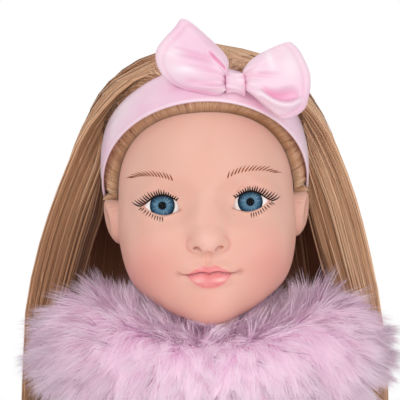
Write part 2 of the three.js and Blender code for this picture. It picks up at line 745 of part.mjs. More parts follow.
function makeHairCap() {
  const around = 30;
  const up = 8;
  const grid = (form) =>
    steps(up).map((r) =>
      steps(around).map((i) => {
        const turn = ((i + 0.5) / around) * Math.PI * 2;
        const fromFront = Math.abs(THREE.MathUtils.radToDeg(Math.atan2(Math.sin(turn), Math.cos(turn))));
        const elevation = mix(radians(hairlineAt(fromFront)[0]), POLE, r / (up - 1));
        return surfaceOn(form(r), HEAD_MIDDLE, aimAt(turn, elevation), 0);
      }),
    );
  const deep = (r) => (r === 0 ? HAIR_ROOM + HAIR_EDGE : mix(HAIR_DEEP, HAIR_TOP, r / up));
  const inner = grid(() => (p) => face(p) - HAIR_ROOM);
  const outer = grid((r) => (p) => Math.min(skull(p) - deep(r), face(p) - HAIR_ROOM - HAIR_EDGE));
  return [named("hair_cap", ringSolid([...inner.reverse(), ...outer]), hair)];
}

const BAND_IN = HAIR_TOP + GAP;
const BAND_OUT = BAND_IN + CLOTH;

function makeHeadband() {
  const lean = radians(BAND_LEAN_DEG);
  const ahead = point(0, -Math.cos(lean), Math.sin(lean));
  const across = point(0, Math.sin(lean), Math.cos(lean));
  const middle = point(0, BAND_Y, BAND_Z);
  const around = 36;
  const rings = (out) =>
    levels(-BAND_WIDE / 2, BAND_WIDE / 2, 3).map((shift) =>
      steps(around).map((i) => {
        const turn = ((i + 0.5) / around) * Math.PI * 2;
        const aim = point(Math.sin(turn), 0, 0).addScaledVector(ahead, Math.cos(turn));
        return surfaceOn(skull, middle.clone().addScaledVector(across, shift), aim, out);
      }),
    );
  return [named("headband", wallSolid(rings(BAND_OUT), rings(BAND_IN)), satin)];
}

// Hanging hair by height above the eyes: half-width, back, where its front edge lies, and its axis
const fallAt = stationReader([
  [-146, 82, 55, 40, 40],
  [-122, 82, 55, 40, 40],
  [-100, 80, 56, 39, 39],
  [-84, 79, 57, 35, 35],
  [-68, 77.5, 59, 24, 24],
  [-45, 73, 61.5, 15, 15],
  [-20, 66, 64, 12, 14],
  [0, 60, 66, 11, 14],
  [18, 54, 67, 8, 14],
  [32, 49.5, 65, 1, 14],
  [44, 46, 60, -9, 13],
  [54, 39, 51, -14, 9],
  [62, 30, 37, -15, 6],
]);
const FALL_LOW = -146;
const FALL_HIGH = 62;
const FALL_ROOT = 50;
const PLUMB_FROM = -70;

// Pushes a point out of the dressed head, along a level line from its axis
function clearOfHead(p, room, along) {
  const moved = p.clone();
  for (const _ of steps(12)) {
    const short = room - skull(moved);
    if (short > 0) moved.addScaledVector(along, short + 0.02);
  }
  return moved;
}

// One share of the hanging hair between two angles round its axis, where 0 is the back
function makeFall(name, start, end) {
  const across = 9;
  const plumb = Math.tan(radians(HEAD_ROLL_DEG));
  const grid = (inward) =>
    fallAt.between(FALL_LOW, FALL_HIGH).map((z) => {
      const [halfX, back, frontEdge, axisY] = fallAt(z);
      const deep = back - axisY;
      const limit = Math.acos((frontEdge - axisY) / deep);
      return levels(start(limit), end(limit), across).map((turn, i) => {
        const lock = inward ? 0 : LOCK_DEEP * (i % 2);
        const out = -inward - lock;
        const p = point((halfX + out) * Math.sin(turn), axisY + (deep + out) * Math.cos(turn), z);
        p.x += plumb * Math.min(z - PLUMB_FROM, 0);
        const level = point(p.x, p.y - HEAD_MIDDLE.y, 0).normalize();
        const room = z > FALL_ROOT ? HAIR_TOP + GAP + FALL_SAG : BAND_OUT + FALL_ROOM;
        return clearOfHead(p, room + (inward ? 0 : FALL_THIN), level);
      });
    });
  return named(name, sheetSolid(grid(0), grid(FALL_THICK)), hair);
}

function makeFalls() {
  const split = radians(FALL_SPLIT_DEG);
  const half = radians(0.4);
  return [
    makeFall("left_hair_fall", () => split + half, (limit) => limit),
    makeFall("back_hair_fall", () => -split + half, () => split - half),
    makeFall("right_hair_fall", (limit) => -limit, () => -split - half),
  ];
}

// A gathered ribbon loop: shares along its length, half-height above and below its axis, half-thickness
const RIGHT_LOOP = [
  [0, 4, 4, 2.6],
  [0.12, 7, 6.4, 4],
  [0.34, 12.5, 9.4, 5.4],
  [0.6, 15.5, 12.4, 5.6],
  [0.84, 14.4, 11, 4.6],
  [1, 6, 4.5, 2.2],
];
const LEFT_LOOP = [
  [0, 4, 4, 2.6],
  [0.12, 6, 6, 4],
  [0.34, 11, 10.5, 5.4],
  [0.6, 16, 16, 5.6],
  [0.86, 13, 14, 4.6],
  [1, 6.5, 8, 2.2],
];
const RIGHT_LOOP_DEG = 155;
const LEFT_LOOP_DEG = 1;
const LOOP_LEAN_BACK = 3;
const FOLD_DEEP = 0.22;

const bowY = () => {
  const front = surfaceOn(skull, point(BOW_X, 0, BOW_Z), point(0, -1, 0), BAND_OUT);
  return front.y - BOW_THICK / 2 - GAP;
};

function makeLoop(name, stations, degrees, start) {
  const along = point(Math.cos(radians(degrees)), 0, Math.sin(radians(degrees)));
  const up = point(-along.z, 0, along.x).multiplyScalar(Math.sign(along.x));
  const around = 18;
  const rings = stations.map(([share, above, below, thick]) => {
    const middle = point(BOW_X, bowY() + LOOP_LEAN_BACK * share, BOW_Z);
    middle.addScaledVector(along, start + share * BOW_LOOP_LONG);
    return steps(around).map((i) => {
      const turn = ((i + 0.5) / around) * Math.PI * 2;
      const rise = Math.sin(turn) > 0 ? above : below;
      const fold = 1 - FOLD_DEEP * (1 - share) * (1 + Math.cos(4 * turn + Math.PI)) * 0.5;
      const p = middle.clone().addScaledVector(up, rise * Math.sin(turn));
      p.y -= thick * fold * Math.cos(turn);
      return clearOfHead(p, BAND_OUT + GAP, point(0, -1, 0));
    });
  });
  return named(name, ringSolid(rings), satin);
}

function makeBow() {
  const start = BOW_KNOT_WIDE / 2 + GAP;
  const knotRings = [-1, -0.7, 0, 0.7, 1].map((share) => {
    const swell = Math.sqrt(1 - 0.55 * share * share);
    const x = BOW_X + (share * BOW_KNOT_WIDE) / 2;
    return steps(16).map((i) => {
      const turn = ((i + 0.5) / 16) * Math.PI * 2;
      const y = bowY() - (BOW_THICK / 2) * swell * Math.cos(turn);
      const p = point(x, y, BOW_Z + (BOW_KNOT_HIGH / 2) * swell * Math.sin(turn));
      return clearOfHead(p, BAND_OUT + GAP, point(0, -1, 0));
    });
  });
  return [
    makeLoop("bow_right_loop", RIGHT_LOOP, RIGHT_LOOP_DEG, start + 1.2),
    makeLoop("bow_left_loop", LEFT_LOOP, LEFT_LOOP_DEG, start),
    named("bow_knot", ringSolid(knotRings), satin),
  ];
}

// Ball, stem and flange turned about the head's own axis, in the frame of the neck ball
function makeNeckPlug() {
  const stemStart = Math.sqrt(NECK_BALL ** 2 - NECK_STEM ** 2);
  const underFlange = NECK_TO_EYES + NECK_RING_HIGH + GAP;
  const arc = levels(-Math.PI / 2, Math.atan2(stemStart, NECK_STEM), 6).map(
    (a) => new THREE.Vector2(Math.max(NECK_BALL * Math.cos(a), 0), NECK_BALL * Math.sin(a)),
  );
  arc[0].x = 0;
  const profile = [
    ...arc,
    new THREE.Vector2(NECK_STEM, underFlange),
    new THREE.Vector2(NECK_FLANGE, underFlange),
    new THREE.Vector2(NECK_FLANGE, underFlange + NECK_FLANGE_DEEP),
    new THREE.Vector2(0, underFlange + NECK_FLANGE_DEEP),
  ];
  const turned = facingOut(new THREE.LatheGeometry(profile, 16)).rotateX(Math.PI / 2);
  return named("neck_plug", turned, bodyPlastic);
}

const figure = new THREE.Group();
figure.add(...makeTorso(), ...makeScrews());
figure.add(makeElastic("arm_elastic", SHOULDER_Z, SHOULDER_SPREAD, ARM_CORD, ARM_KNOB));
figure.add(makeElastic("leg_elastic", HIP_Z, HIP_SPREAD, LEG_CORD, LEG_KNOB));
figure.add(...sides.flatMap((side) => [...makeArm(side), ...makeLeg(side)]));
figure.add(...makeClothes(), makeCollar());

// The head leans a little to the doll's right on its neck ball
const onNeck = new THREE.Group();
onNeck.position.copy(neckBall);
onNeck.rotation.y = -radians(HEAD_ROLL_DEG);
onNeck.add(makeNeckPlug());
const headFrame = new THREE.Group();
headFrame.position.set(0, -HEAD_NECK_Y, NECK_TO_EYES);
headFrame.add(...makeHead(), ...sides.flatMap(makeEye));
headFrame.add(...makeHairCap(), ...makeHeadband(), ...makeFalls(), ...makeBow());
onNeck.add(headFrame);
figure.add(onNeck);

// The origin lies under the middle of the whole figure
const middle = new THREE.Box3().setFromObject(figure, true).getCenter(point());
figure.position.set(-middle.x, -middle.y, 0);
const doll = new THREE.Group();
doll.add(figure);

export default doll;
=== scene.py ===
# Looks of a vinyl play doll with long hair, a satin headband and bow and a fur gilet.
# Sizes are in millimetres, as in the part's source, and turn into metres when a mesh is made.
import json
import math

import bpy
import numpy as np
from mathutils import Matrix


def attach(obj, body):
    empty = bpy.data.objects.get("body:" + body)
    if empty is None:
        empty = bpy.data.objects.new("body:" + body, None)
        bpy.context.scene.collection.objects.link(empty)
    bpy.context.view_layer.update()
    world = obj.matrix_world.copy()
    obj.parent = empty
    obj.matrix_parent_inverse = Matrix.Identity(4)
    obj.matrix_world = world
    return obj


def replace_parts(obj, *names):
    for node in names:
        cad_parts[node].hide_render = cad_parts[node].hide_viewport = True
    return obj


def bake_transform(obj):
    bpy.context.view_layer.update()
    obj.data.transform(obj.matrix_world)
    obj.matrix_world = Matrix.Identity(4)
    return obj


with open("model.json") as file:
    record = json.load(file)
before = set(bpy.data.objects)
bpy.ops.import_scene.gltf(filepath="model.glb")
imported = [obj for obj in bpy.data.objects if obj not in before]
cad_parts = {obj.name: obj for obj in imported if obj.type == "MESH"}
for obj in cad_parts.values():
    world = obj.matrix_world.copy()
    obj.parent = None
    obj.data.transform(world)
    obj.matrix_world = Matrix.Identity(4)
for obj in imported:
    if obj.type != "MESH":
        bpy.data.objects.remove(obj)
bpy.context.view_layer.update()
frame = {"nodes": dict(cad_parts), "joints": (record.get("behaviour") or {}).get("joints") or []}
rng = np.random.default_rng(46)

MM = 0.001
JOINTS = {joint["name"]: joint for joint in frame["joints"]}
NECK = np.array(JOINTS["head_turn"]["pos_m"]) / MM
LEAN_X, _, LEAN_Z = JOINTS["head_turn"]["axis"]
HEAD_TURN = np.array([[LEAN_Z, 0, LEAN_X], [0, 1, 0], [-LEAN_X, 0, LEAN_Z]])
EYES_FROM_NECK = np.array([0, -6, 69.5])
NECK_IN_BODY = np.array([0, 3, 324])
BODY = NECK - NECK_IN_BODY


def from_head(points):
    """From the head's own frame, which starts between the eyes, to the doll's."""
    return NECK + (np.asarray(points) + EYES_FROM_NECK) @ HEAD_TURN.T


def from_body(points):
    return BODY + np.asarray(points)


def body_to_head(points):
    return (from_body(points) - NECK) @ HEAD_TURN - EYES_FROM_NECK


# Small sums used throughout
def smoothstep(low, high, value):
    share = np.clip((value - low) / (high - low), 0, 1)
    return share * share * (3 - 2 * share)


def bell(value, centre, width):
    return np.exp(-(((value - centre) / width) ** 2))


def unit(vectors):
    return vectors / np.maximum(np.linalg.norm(vectors, axis=-1, keepdims=True), 1e-9)


def mix(a, b, share):
    return a + (b - a) * share


def squared_off(value, squareness):
    """A cosine or sine for a rounded box in place of a circle."""
    return np.sign(value) * np.abs(value) ** (2 / squareness)


def smooth_curve(places, values):
    """A smooth line through a few points."""
    places = np.array(places, float)
    values = np.array(values, float)
    slopes = np.gradient(values, places)

    def read(at):
        at = np.clip(at, places[0], places[-1])
        i = np.clip(np.searchsorted(places, at) - 1, 0, len(places) - 2)
        step = places[i + 1] - places[i]
        t = (at - places[i]) / step
        start = values[i] * (1 + 2 * t) * (1 - t) ** 2 + slopes[i] * step * t * (1 - t) ** 2
        end = values[i + 1] * t * t * (3 - 2 * t) + slopes[i + 1] * step * t * t * (t - 1)
        return start + end

    return read


def spread(stops, counts):
    """Places from the first stop to the last, with a count of steps between each two."""
    runs = [np.linspace(a, b, n, endpoint=False) for a, b, n in zip(stops, stops[1:], counts)]
    return np.concatenate([*runs, stops[-1:]])


def ripple(seed, waves):
    """A smooth wandering line between about -1 and 1."""
    own = np.random.default_rng(seed)
    rates = own.uniform(0.5, waves, 9)
    starts = own.uniform(0, 2 * np.pi, 9)
    return lambda at: np.sin(np.asarray(at)[..., None] * rates * 2 * np.pi + starts).sum(-1) / 4


def resample(points, at):
    """Points along rows of stations, at fractional station numbers."""
    last = points.shape[1] - 1
    i = np.clip(np.floor(at).astype(int), 0, last - 1)
    t = (at - i)[..., None]
    take = lambda k: np.take_along_axis(points, np.clip(k, 0, last)[..., None], 1)
    before, start, end, after = take(i - 1), take(i), take(i + 1), take(i + 2)
    bend = 2 * before - 5 * start + 4 * end - after
    turn = 3 * start - before - 3 * end + after
    return 0.5 * (2 * start + (end - before) * t + bend * t**2 + turn * t**3)


# Meshes
def grid(rows, columns, around=False):
    """Corner numbers of the quads between rows of points."""
    row = np.arange(rows - 1)[:, None] * columns
    column = np.arange(columns if around else columns - 1)[None, :]
    after = (column + 1) % columns
    quads = np.stack([row + column, row + after, row + columns + after, row + columns + column], -1)
    return quads.reshape(-1, 4)


def fan(ring, pole):
    return np.stack([ring, np.roll(ring, -1), np.full(len(ring), pole)], -1)


def lid_on(ring):
    """Triangles that close a ring of points from its first one."""
    return fan(ring, ring[0])[1:-1]


def facing_out(points, faces):
    """The same faces, turned round if they look inwards."""
    about = points - points.mean(0)
    lean = 0
    for face in faces:
        a, b, c = about[face[:, 0]], about[face[:, 1]], about[face[:, 2]]
        lean += np.einsum("ij,ij->i", a, np.cross(b - a, c - a)).sum()
    return faces if lean > 0 else [face[:, ::-1] for face in faces]


def make_piece(name, points, faces, material, slot, body=None, normals=None, **attributes):
    """A mesh piece with the given material, which rides on a body. The slot is not used."""
    points = np.asarray(points, float).reshape(-1, 3)
    faces = faces if isinstance(faces, list) else [faces]
    if normals is None:
        faces = facing_out(points, faces)
    corners = np.concatenate([face.ravel() for face in faces]).astype(np.int32)
    sizes = np.concatenate([np.full(len(face), face.shape[1]) for face in faces])
    mesh = bpy.data.meshes.new(name)
    mesh.vertices.add(len(points))
    mesh.vertices.foreach_set("co", (points * MM).astype(np.float32).ravel())
    mesh.loops.add(len(corners))
    mesh.loops.foreach_set("vertex_index", corners)
    mesh.polygons.add(len(sizes))
    mesh.polygons.foreach_set("loop_start", (np.cumsum(sizes) - sizes).astype(np.int32))
    mesh.polygons.foreach_set("use_smooth", np.ones(len(sizes), bool))
    for key, values in attributes.items():
        layer = mesh.attributes.new(key, "FLOAT", "POINT")
        layer.data.foreach_set("value", np.asarray(values, np.float32).ravel())
    mesh.update(calc_edges=True)
    if normals is not None:
        mesh.normals_split_custom_set_from_vertices(normals.astype(np.float32))
    mesh.materials.append(material)
    piece = bpy.data.objects.new(name, mesh)
    bpy.context.scene.collection.objects.link(piece)
    if body:
        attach(piece, body)
    return piece


def ribbon_mesh(paths, widths, outward):
    """Points and faces of narrow ribbons along paths, each facing outward."""
    count, steps = paths.shape[:2]
    along = np.gradient(paths, axis=1)
    aside = unit(np.cross(along, outward)) * widths[..., None] / 2
    points = np.stack([paths - aside, paths + aside], 2).reshape(-1, 3)
    start = (np.arange(count)[:, None] * steps + np.arange(steps - 1)[None]).reshape(-1, 1) * 2
    return points, start + np.array([[0, 1, 3, 2]])


def closing(rows, columns):
    """Quads from the last row back to the first, round a closed wall."""
    column = np.arange(columns)
    after = (column + 1) % columns
    last = (rows - 1) * columns
    return np.stack([last + column, last + after, after, column], -1)


def shell(outer, inner):
    """Points and faces of a closed wall between two runs of rings."""
    rows, columns = outer.shape[:2]
    points = np.concatenate([outer, inner[::-1]]).reshape(-1, 3)
    return points, np.concatenate([grid(2 * rows, columns, True), closing(2 * rows, columns)])


def closed_rings(rings):
    """Points and faces of rings closed at both ends."""
    rows, columns = rings.shape[:2]
    size = rows * columns
    points = np.concatenate([rings.reshape(-1, 3), [rings[0].mean(0)], [rings[-1].mean(0)]])
    first = fan(np.arange(columns), size)[:, [1, 0, 2]]
    last = fan(size - columns + np.arange(columns), size + 1)
    return points, [grid(rows, columns, True), np.concatenate([first, last])]


def two_walls(outer, inner, kept=None):
    """An outer and an inner wall over the kept cells of a grid, closed by a rim round every edge."""
    cells = grid(*outer.shape[:2])
    if kept is not None:
        cells = cells[kept.ravel()]
    size = outer.shape[0] * outer.shape[1]
    sides = np.concatenate([cells[:, [k, (k + 1) % 4]] for k in range(4)])
    _, first, uses = np.unique(np.sort(sides, 1), axis=0, return_index=True, return_counts=True)
    edge = sides[first[uses == 1]]
    rim = np.stack([edge[:, 1], edge[:, 0], edge[:, 0] + size, edge[:, 1] + size], -1)
    points = np.concatenate([outer.reshape(-1, 3), inner.reshape(-1, 3)])
    walls = np.concatenate([cells, cells[:, ::-1] + size, rim])
    used, faces = np.unique(walls, return_inverse=True)
    return points[used], faces.reshape(-1, 4)


def joined(parts):
    """One mesh of several."""
    points, faces, shift = [], [], 0
    for part, runs in parts:
        points.append(part)
        faces.extend(run + shift for run in runs)
        shift += len(part)
    return np.concatenate(points), faces


def fused(piece, voxel, rounds):
    """Melts a piece's overlapping forms into one smooth skin."""
    melt = piece.modifiers.new("melt", "REMESH")
    melt.mode = "VOXEL"
    melt.voxel_size = voxel * MM
    ease = piece.modifiers.new("ease", "SMOOTH")
    ease.factor = 0.5
    ease.iterations = rounds
    seen = piece.evaluated_get(bpy.context.evaluated_depsgraph_get())
    mesh = bpy.data.meshes.new_from_object(seen)
    piece.modifiers.clear()
    piece.data = mesh
    mesh.polygons.foreach_set("use_smooth", np.ones(len(mesh.polygons), bool))


# Colours
SKIN = "#eab3a0"
SKIN_WARM = "#ecb7a5"
BLUSH = "#e58f86"
LIP = "#ee8587"
LIP_LIGHT = "#f29a98"
LIP_PALE = "#fbcdc6"
LIP_LINE = "#8f3138"
LASH = "#150d0b"
LID_LINE = "#170e0c"
LOWER_LASH = "#3a2119"
BROW = "#8c4826"
EYE_WHITE = "#ffffff"
EYE_SHADE = "#cfc8cf"
PUPIL = "#040508"
IRIS_TONES = ((0.34, "#4b7692"), (0.5, "#5b8198"), (0.72, "#325a75"), (0.88, "#13283d"))
IRIS_SPOKE = "#214d70"
IRIS_RAY = "#a4c8da"
IRIS_SHADE = "#16283a"
IRIS_RIM = "#12202f"
CLEAR = (0.1, 0.105, 0.11, 1)
HAIR_TONES = ("#5a3424", "#c28b63", "#f3cba6", "#e0b391")
FUR_TONES = ("#e096cb", "#f7c8e5", "#fde4f4", "#feecf7")
SATIN = "#f3c4db"
SATIN_PALE = "#fae0ea"
SATIN_LIGHT = "#fdeff6"
SATIN_DEEP = "#ee86b6"
PLASTIC = "#e3b29b"
PLASTIC_WARM = "#e7b9a4"
KNIT = "#8d80a8"
KNIT_DEEP = "#84779f"
JERSEY = ("#f5e4ec", "#f0dae5")
SUEDE = ("#cc9dc2", "#d4a9ca")
THREAD = ("#f0dfec", "#e9d3e4")
RUBBER = ("#efe6e3", "#ebe0dc")
STEEL = ("#b2b4b6", "#c2c4c5")
ELASTIC = ("#f0ede6", "#e4dfd5")
PAPER = "#f2f1f0"
PAPER_PALE = "#f6f5f4"
BLACK = (0.0, 0.0, 0.0, 1.0)


# Materials
KNIT_WALES = 420
KNIT_COURSES = 560
PUPIL_EDGE = 0.33
RIM_EDGE = 0.91
FLOOR_FADES = (220, 900)


def srgb(code):
    values = np.array([int(code[i : i + 2], 16) for i in (1, 3, 5)]) / 255
    linear = np.where(values <= 0.04045, values / 12.92, ((values + 0.055) / 1.055) ** 2.4)
    return (*linear, 1.0)


class Paint:
    """A node material that grows one node at a time."""

    def __init__(self, name, values):
        self.material = bpy.data.materials.new(name)
        self.material.use_nodes = True
        self.nodes = self.material.node_tree.nodes
        self.links = self.material.node_tree.links
        self.surface = self.nodes["Principled BSDF"]
        for key, value in values.items():
            self.feed(self.surface.inputs[key], value)

    def feed(self, socket, value):
        if isinstance(value, bpy.types.NodeSocket):
            self.links.new(value, socket)
        else:
            socket.default_value = value

    def add(self, kind, inputs, **settings):
        node = self.nodes.new("ShaderNode" + kind)
        for key, value in settings.items():
            setattr(node, key, value)
        for key, value in inputs.items():
            self.feed(node.inputs[key], value)
        return node

    def attribute(self, name):
        return self.add("Attribute", {}, attribute_name=name).outputs["Fac"]

    def place(self, stretch=(1, 1, 1)):
        """Places on the piece, in metres, stretched along the axes."""
        where = self.add("TexCoord", {}).outputs["Object"]
        return self.add("Mapping", {"Vector": where, "Scale": stretch}).outputs["Vector"]

    def noise(self, scale, detail=2.0, stretch=(1, 1, 1)):
        settings = {"Vector": self.place(stretch), "Scale": scale, "Detail": detail}
        return self.add("TexNoise", settings).outputs["Fac"]

    def waves(self, scale, direction, warp=0.0):
        settings = {"Vector": self.place(), "Scale": scale, "Distortion": warp}
        return self.add("TexWave", settings, bands_direction=direction).outputs["Fac"]

    def sum(self, kind, a, b):
        return self.add("Math", {0: a, 1: b}, operation=kind).outputs[0]

    def blend(self, share, a, b):
        return self.add("Mix", {0: share, 6: a, 7: b}, data_type="RGBA").outputs[2]

    def ramp(self, share, *stops):
        node = self.add("ValToRGB", {"Fac": share})
        band = node.color_ramp.elements
        while len(band) < len(stops):
            band.new(1.0)
        for element, (place, color) in zip(band, stops):
            element.position = place
            element.color = srgb(color)
        return node.outputs["Color"]

    def span(self, value, low, high):
        settings = {"Value": value, "To Min": low, "To Max": high}
        return self.add("MapRange", settings).outputs["Result"]

    def finish(self, color, roughness=None, height=None, strength=0.3, deep=0.2):
        self.feed(self.surface.inputs["Base Color"], color)
        if roughness is not None:
            self.feed(self.surface.inputs["Roughness"], roughness)
        if height is not None:
            settings = {"Height": height, "Strength": strength, "Distance": deep * MM}
            bump = self.add("Bump", settings)
            self.feed(self.surface.inputs["Normal"], bump.outputs["Normal"])
        return self.material


def vinyl_paint():
    """Skin with painted blush and lips, painted shade in the lid creases and round the wings of the
    nose, a lip line with painted shade in the mouth corners, and painted highlights on the lower lip and
    the nose.
    """
    paint = Paint("doll_vinyl", {
        "Subsurface Weight": 0.25, "Subsurface Scale": 0.004, "Subsurface Radius": (1.0, 0.35, 0.2),
    })
    tone = paint.ramp(paint.noise(60, 3), (0.3, SKIN), (0.7, SKIN_WARM))
    # Blush on the cheeks and chin, with painted shade in the lid creases and round the wings of the nose
    tone = paint.blend(paint.attribute("blush"), tone, srgb(BLUSH))
    lip = paint.ramp(paint.noise(420, 3), (0.3, LIP), (0.75, LIP_LIGHT))
    tone = paint.blend(paint.attribute("lips"), tone, lip)
    # Painted highlights on the lower lip and the nose tip
    tone = paint.blend(paint.sum("MULTIPLY", paint.attribute("gleam"), 0.6), tone, srgb(LIP_PALE))
    # The painted line between the lips, with painted shade in the mouth corners
    tone = paint.blend(paint.attribute("line"), tone, srgb(LIP_LINE))
    rough = paint.span(paint.attribute("lips"), 0.44, 0.16)
    return paint.finish(tone, rough, paint.noise(1500, 3), strength=0.12, deep=0.08)


def eye_white_paint():
    paint = Paint("eye_white", {"Specular IOR Level": 0.3})
    tone = paint.blend(paint.attribute("shade"), srgb(EYE_WHITE), srgb(EYE_SHADE))
    return paint.finish(tone, paint.span(paint.noise(800, 2), 0.14, 0.2))


def iris_paint():
    """Blue with dark spokes and pale rays, round a black pupil."""
    paint = Paint("eye_iris", {"Specular IOR Level": 0.08})
    ring = paint.attribute("ring")
    tone = paint.ramp(ring, *IRIS_TONES)
    tone = paint.blend(paint.span(paint.attribute("spoke"), 0.0, 0.6), tone, srgb(IRIS_SPOKE))
    tone = paint.blend(paint.attribute("ray"), tone, srgb(IRIS_RAY))
    tone = paint.blend(paint.attribute("shade"), tone, srgb(IRIS_SHADE))
    tone = paint.blend(paint.sum("LESS_THAN", ring, PUPIL_EDGE), tone, srgb(PUPIL))
    tone = paint.blend(paint.sum("GREATER_THAN", ring, RIM_EDGE), tone, srgb(IRIS_RIM))
    return paint.finish(tone, paint.span(paint.noise(900, 2), 0.25, 0.35))


def clear_paint():
    """A clear, polished dome: light passes, and only a little of the studio shows on it."""
    paint = Paint("clear_dome", {"Metallic": 1.0, "Alpha": 0.02})
    return paint.finish(CLEAR, paint.span(paint.noise(900, 2), 0.07, 0.1))


def strand_paint(name, tones, rough):
    """Fibres: a tint for each strand, which also carries painted shade, paler towards the tip."""
    dark, middle, light, tip = tones
    paint = Paint(name, {
        "Specular IOR Level": 0.45, "Sheen Weight": 0.12, "Sheen Roughness": 0.4,
    })
    tone = paint.ramp(paint.attribute("tint"), (0.0, dark), (0.5, middle), (1.0, light))
    tone = paint.blend(paint.attribute("along"), tone, srgb(tip))
    scales = paint.noise(900, 2, (1, 1, 0.08))
    return paint.finish(tone, rough, scales, strength=0.15, deep=0.05)


def satin_paint():
    paint = Paint("satin_ribbon", {
        "Anisotropic": 0.55, "Sheen Weight": 0.35, "Sheen Roughness": 0.3, "Specular IOR Level": 0.6,
    })
    tone = paint.ramp(paint.noise(45, 2), (0.3, SATIN), (0.7, SATIN_PALE))
    # Deep pink is painted shade in folds, creases and pockets
    tone = paint.blend(paint.attribute("fold"), tone, srgb(SATIN_DEEP))
    # The palest tone is painted highlight: sheen patches on the loops and a line along the band's lower
    # edge
    tone = paint.blend(paint.attribute("hem"), tone, srgb(SATIN_LIGHT))
    weave = paint.sum("ADD", paint.waves(1400, "X", 0.4), paint.waves(1400, "Z", 0.4))
    rough = paint.span(paint.noise(200, 2), 0.3, 0.42)
    return paint.finish(tone, rough, weave, strength=0.1, deep=0.05)


def plain_paint(name, color, other, rough, scale, values=None):
    """A moulded or coated surface with a little mottle and grain."""
    paint = Paint(name, values or {})
    tone = paint.ramp(paint.noise(scale, 3), (0.3, color), (0.7, other))
    grain = paint.noise(scale * 12, 3)
    rough = paint.span(grain, rough - 0.05, rough + 0.08)
    return paint.finish(tone, rough, grain, strength=0.15, deep=0.1)


def stitches(paint, wales, courses):
    """Height of a fine knit, with stitches in columns and rows."""
    return paint.sum("MULTIPLY", paint.waves(wales, "X", 1.0), paint.waves(courses, "Z", 1.0))


def knit_paint(name, color, other, wales=KNIT_WALES, courses=KNIT_COURSES):
    paint = Paint(name, {"Sheen Weight": 0.3, "Sheen Roughness": 0.5, "Specular IOR Level": 0.25})
    stitch = stitches(paint, wales, courses)
    tone = paint.blend(paint.noise(110, 3), srgb(color), srgb(other))
    # Painted shade: the knit darkens towards black in the hollows between stitches
    tone = paint.blend(paint.span(stitch, 0.25, 0.0), tone, BLACK)
    return paint.finish(tone, 0.85, stitch, strength=0.45, deep=0.25)


def dressed_paint(name, bare, warm, side, level):
    """Plastic or vinyl that is covered with the leggings' knit on one side of a level."""
    paint = Paint(name, {})
    height = paint.add("SeparateXYZ", {0: paint.place()}).outputs["Z"]
    covered = paint.sum(side, height, level * MM)
    plain = paint.ramp(paint.noise(90, 3), (0.3, bare), (0.7, warm))
    knit = paint.ramp(paint.noise(110, 3), (0.3, KNIT), (0.7, KNIT_DEEP))
    tone = paint.blend(covered, plain, knit)
    relief = paint.sum("MULTIPLY", stitches(paint, KNIT_WALES, KNIT_COURSES), covered)
    return paint.finish(tone, paint.span(covered, 0.5, 0.85), relief, strength=0.45, deep=0.25)


def floor_paint():
    """Pale paper that fades out away from the doll."""
    paint = Paint("floor_paper", {"Roughness": 0.75})
    far = paint.add("VectorMath", {0: paint.place()}, operation="LENGTH").outputs["Value"]
    near_end, far_end = (reach * MM for reach in FLOOR_FADES)
    ends = {"Value": far, "From Min": near_end, "From Max": far_end, "To Min": 1.0, "To Max": 0.0}
    fade = paint.add("MapRange", ends, interpolation_type="SMOOTHSTEP").outputs["Result"]
    paint.feed(paint.surface.inputs["Alpha"], fade)
    return paint.finish(paint.ramp(paint.noise(8, 3), (0.3, PAPER), (0.7, PAPER_PALE)))


# Head form, the same as the solids' with finer features
EYE_SPREAD = 18.7
EYE_DEEP = -26.5
EYE_FORWARD = 1.2
EYE_INWARD = 1.2
EYE_OUTWARD = 0.95
EYE_BALL = 10.5
LID = 1.6
IRIS = 5.3
EAR_LEAN = 0.17
NOSE_SLOPE = 0.5
HEAD_MIDDLE = np.array([0, 4, 2])
HAIR_TOP = 5.5
BAND_WIDE = 20
BAND_LEAN = math.radians(40.8)
BAND_MIDDLE = np.array([0, 6.5, 15.6])
BAND_IN = HAIR_TOP + 0.3
BAND_OUT = BAND_IN + 1.2


def ellipsoid(points, centre, half):
    scaled = (points - np.array(centre)) / np.array(half)
    near = np.linalg.norm(scaled, axis=-1)
    slope = np.linalg.norm(scaled / np.array(half), axis=-1)
    return near * (near - 1) / np.maximum(slope, 1e-9)


def run_together(a, b, soft):
    share = np.maximum(soft - np.abs(a - b), 0) / soft
    return np.minimum(a, b) - share * share * soft * 0.25


def hollow_out(a, b, soft):
    return -run_together(-a, b, soft)


def skull(points):
    crown = ellipsoid(points, (0, 4, 14), (38.6, 48, 47.5))
    return run_together(crown, ellipsoid(points, (0, -10, -14), (38.4, 34, 34.8)), 10)


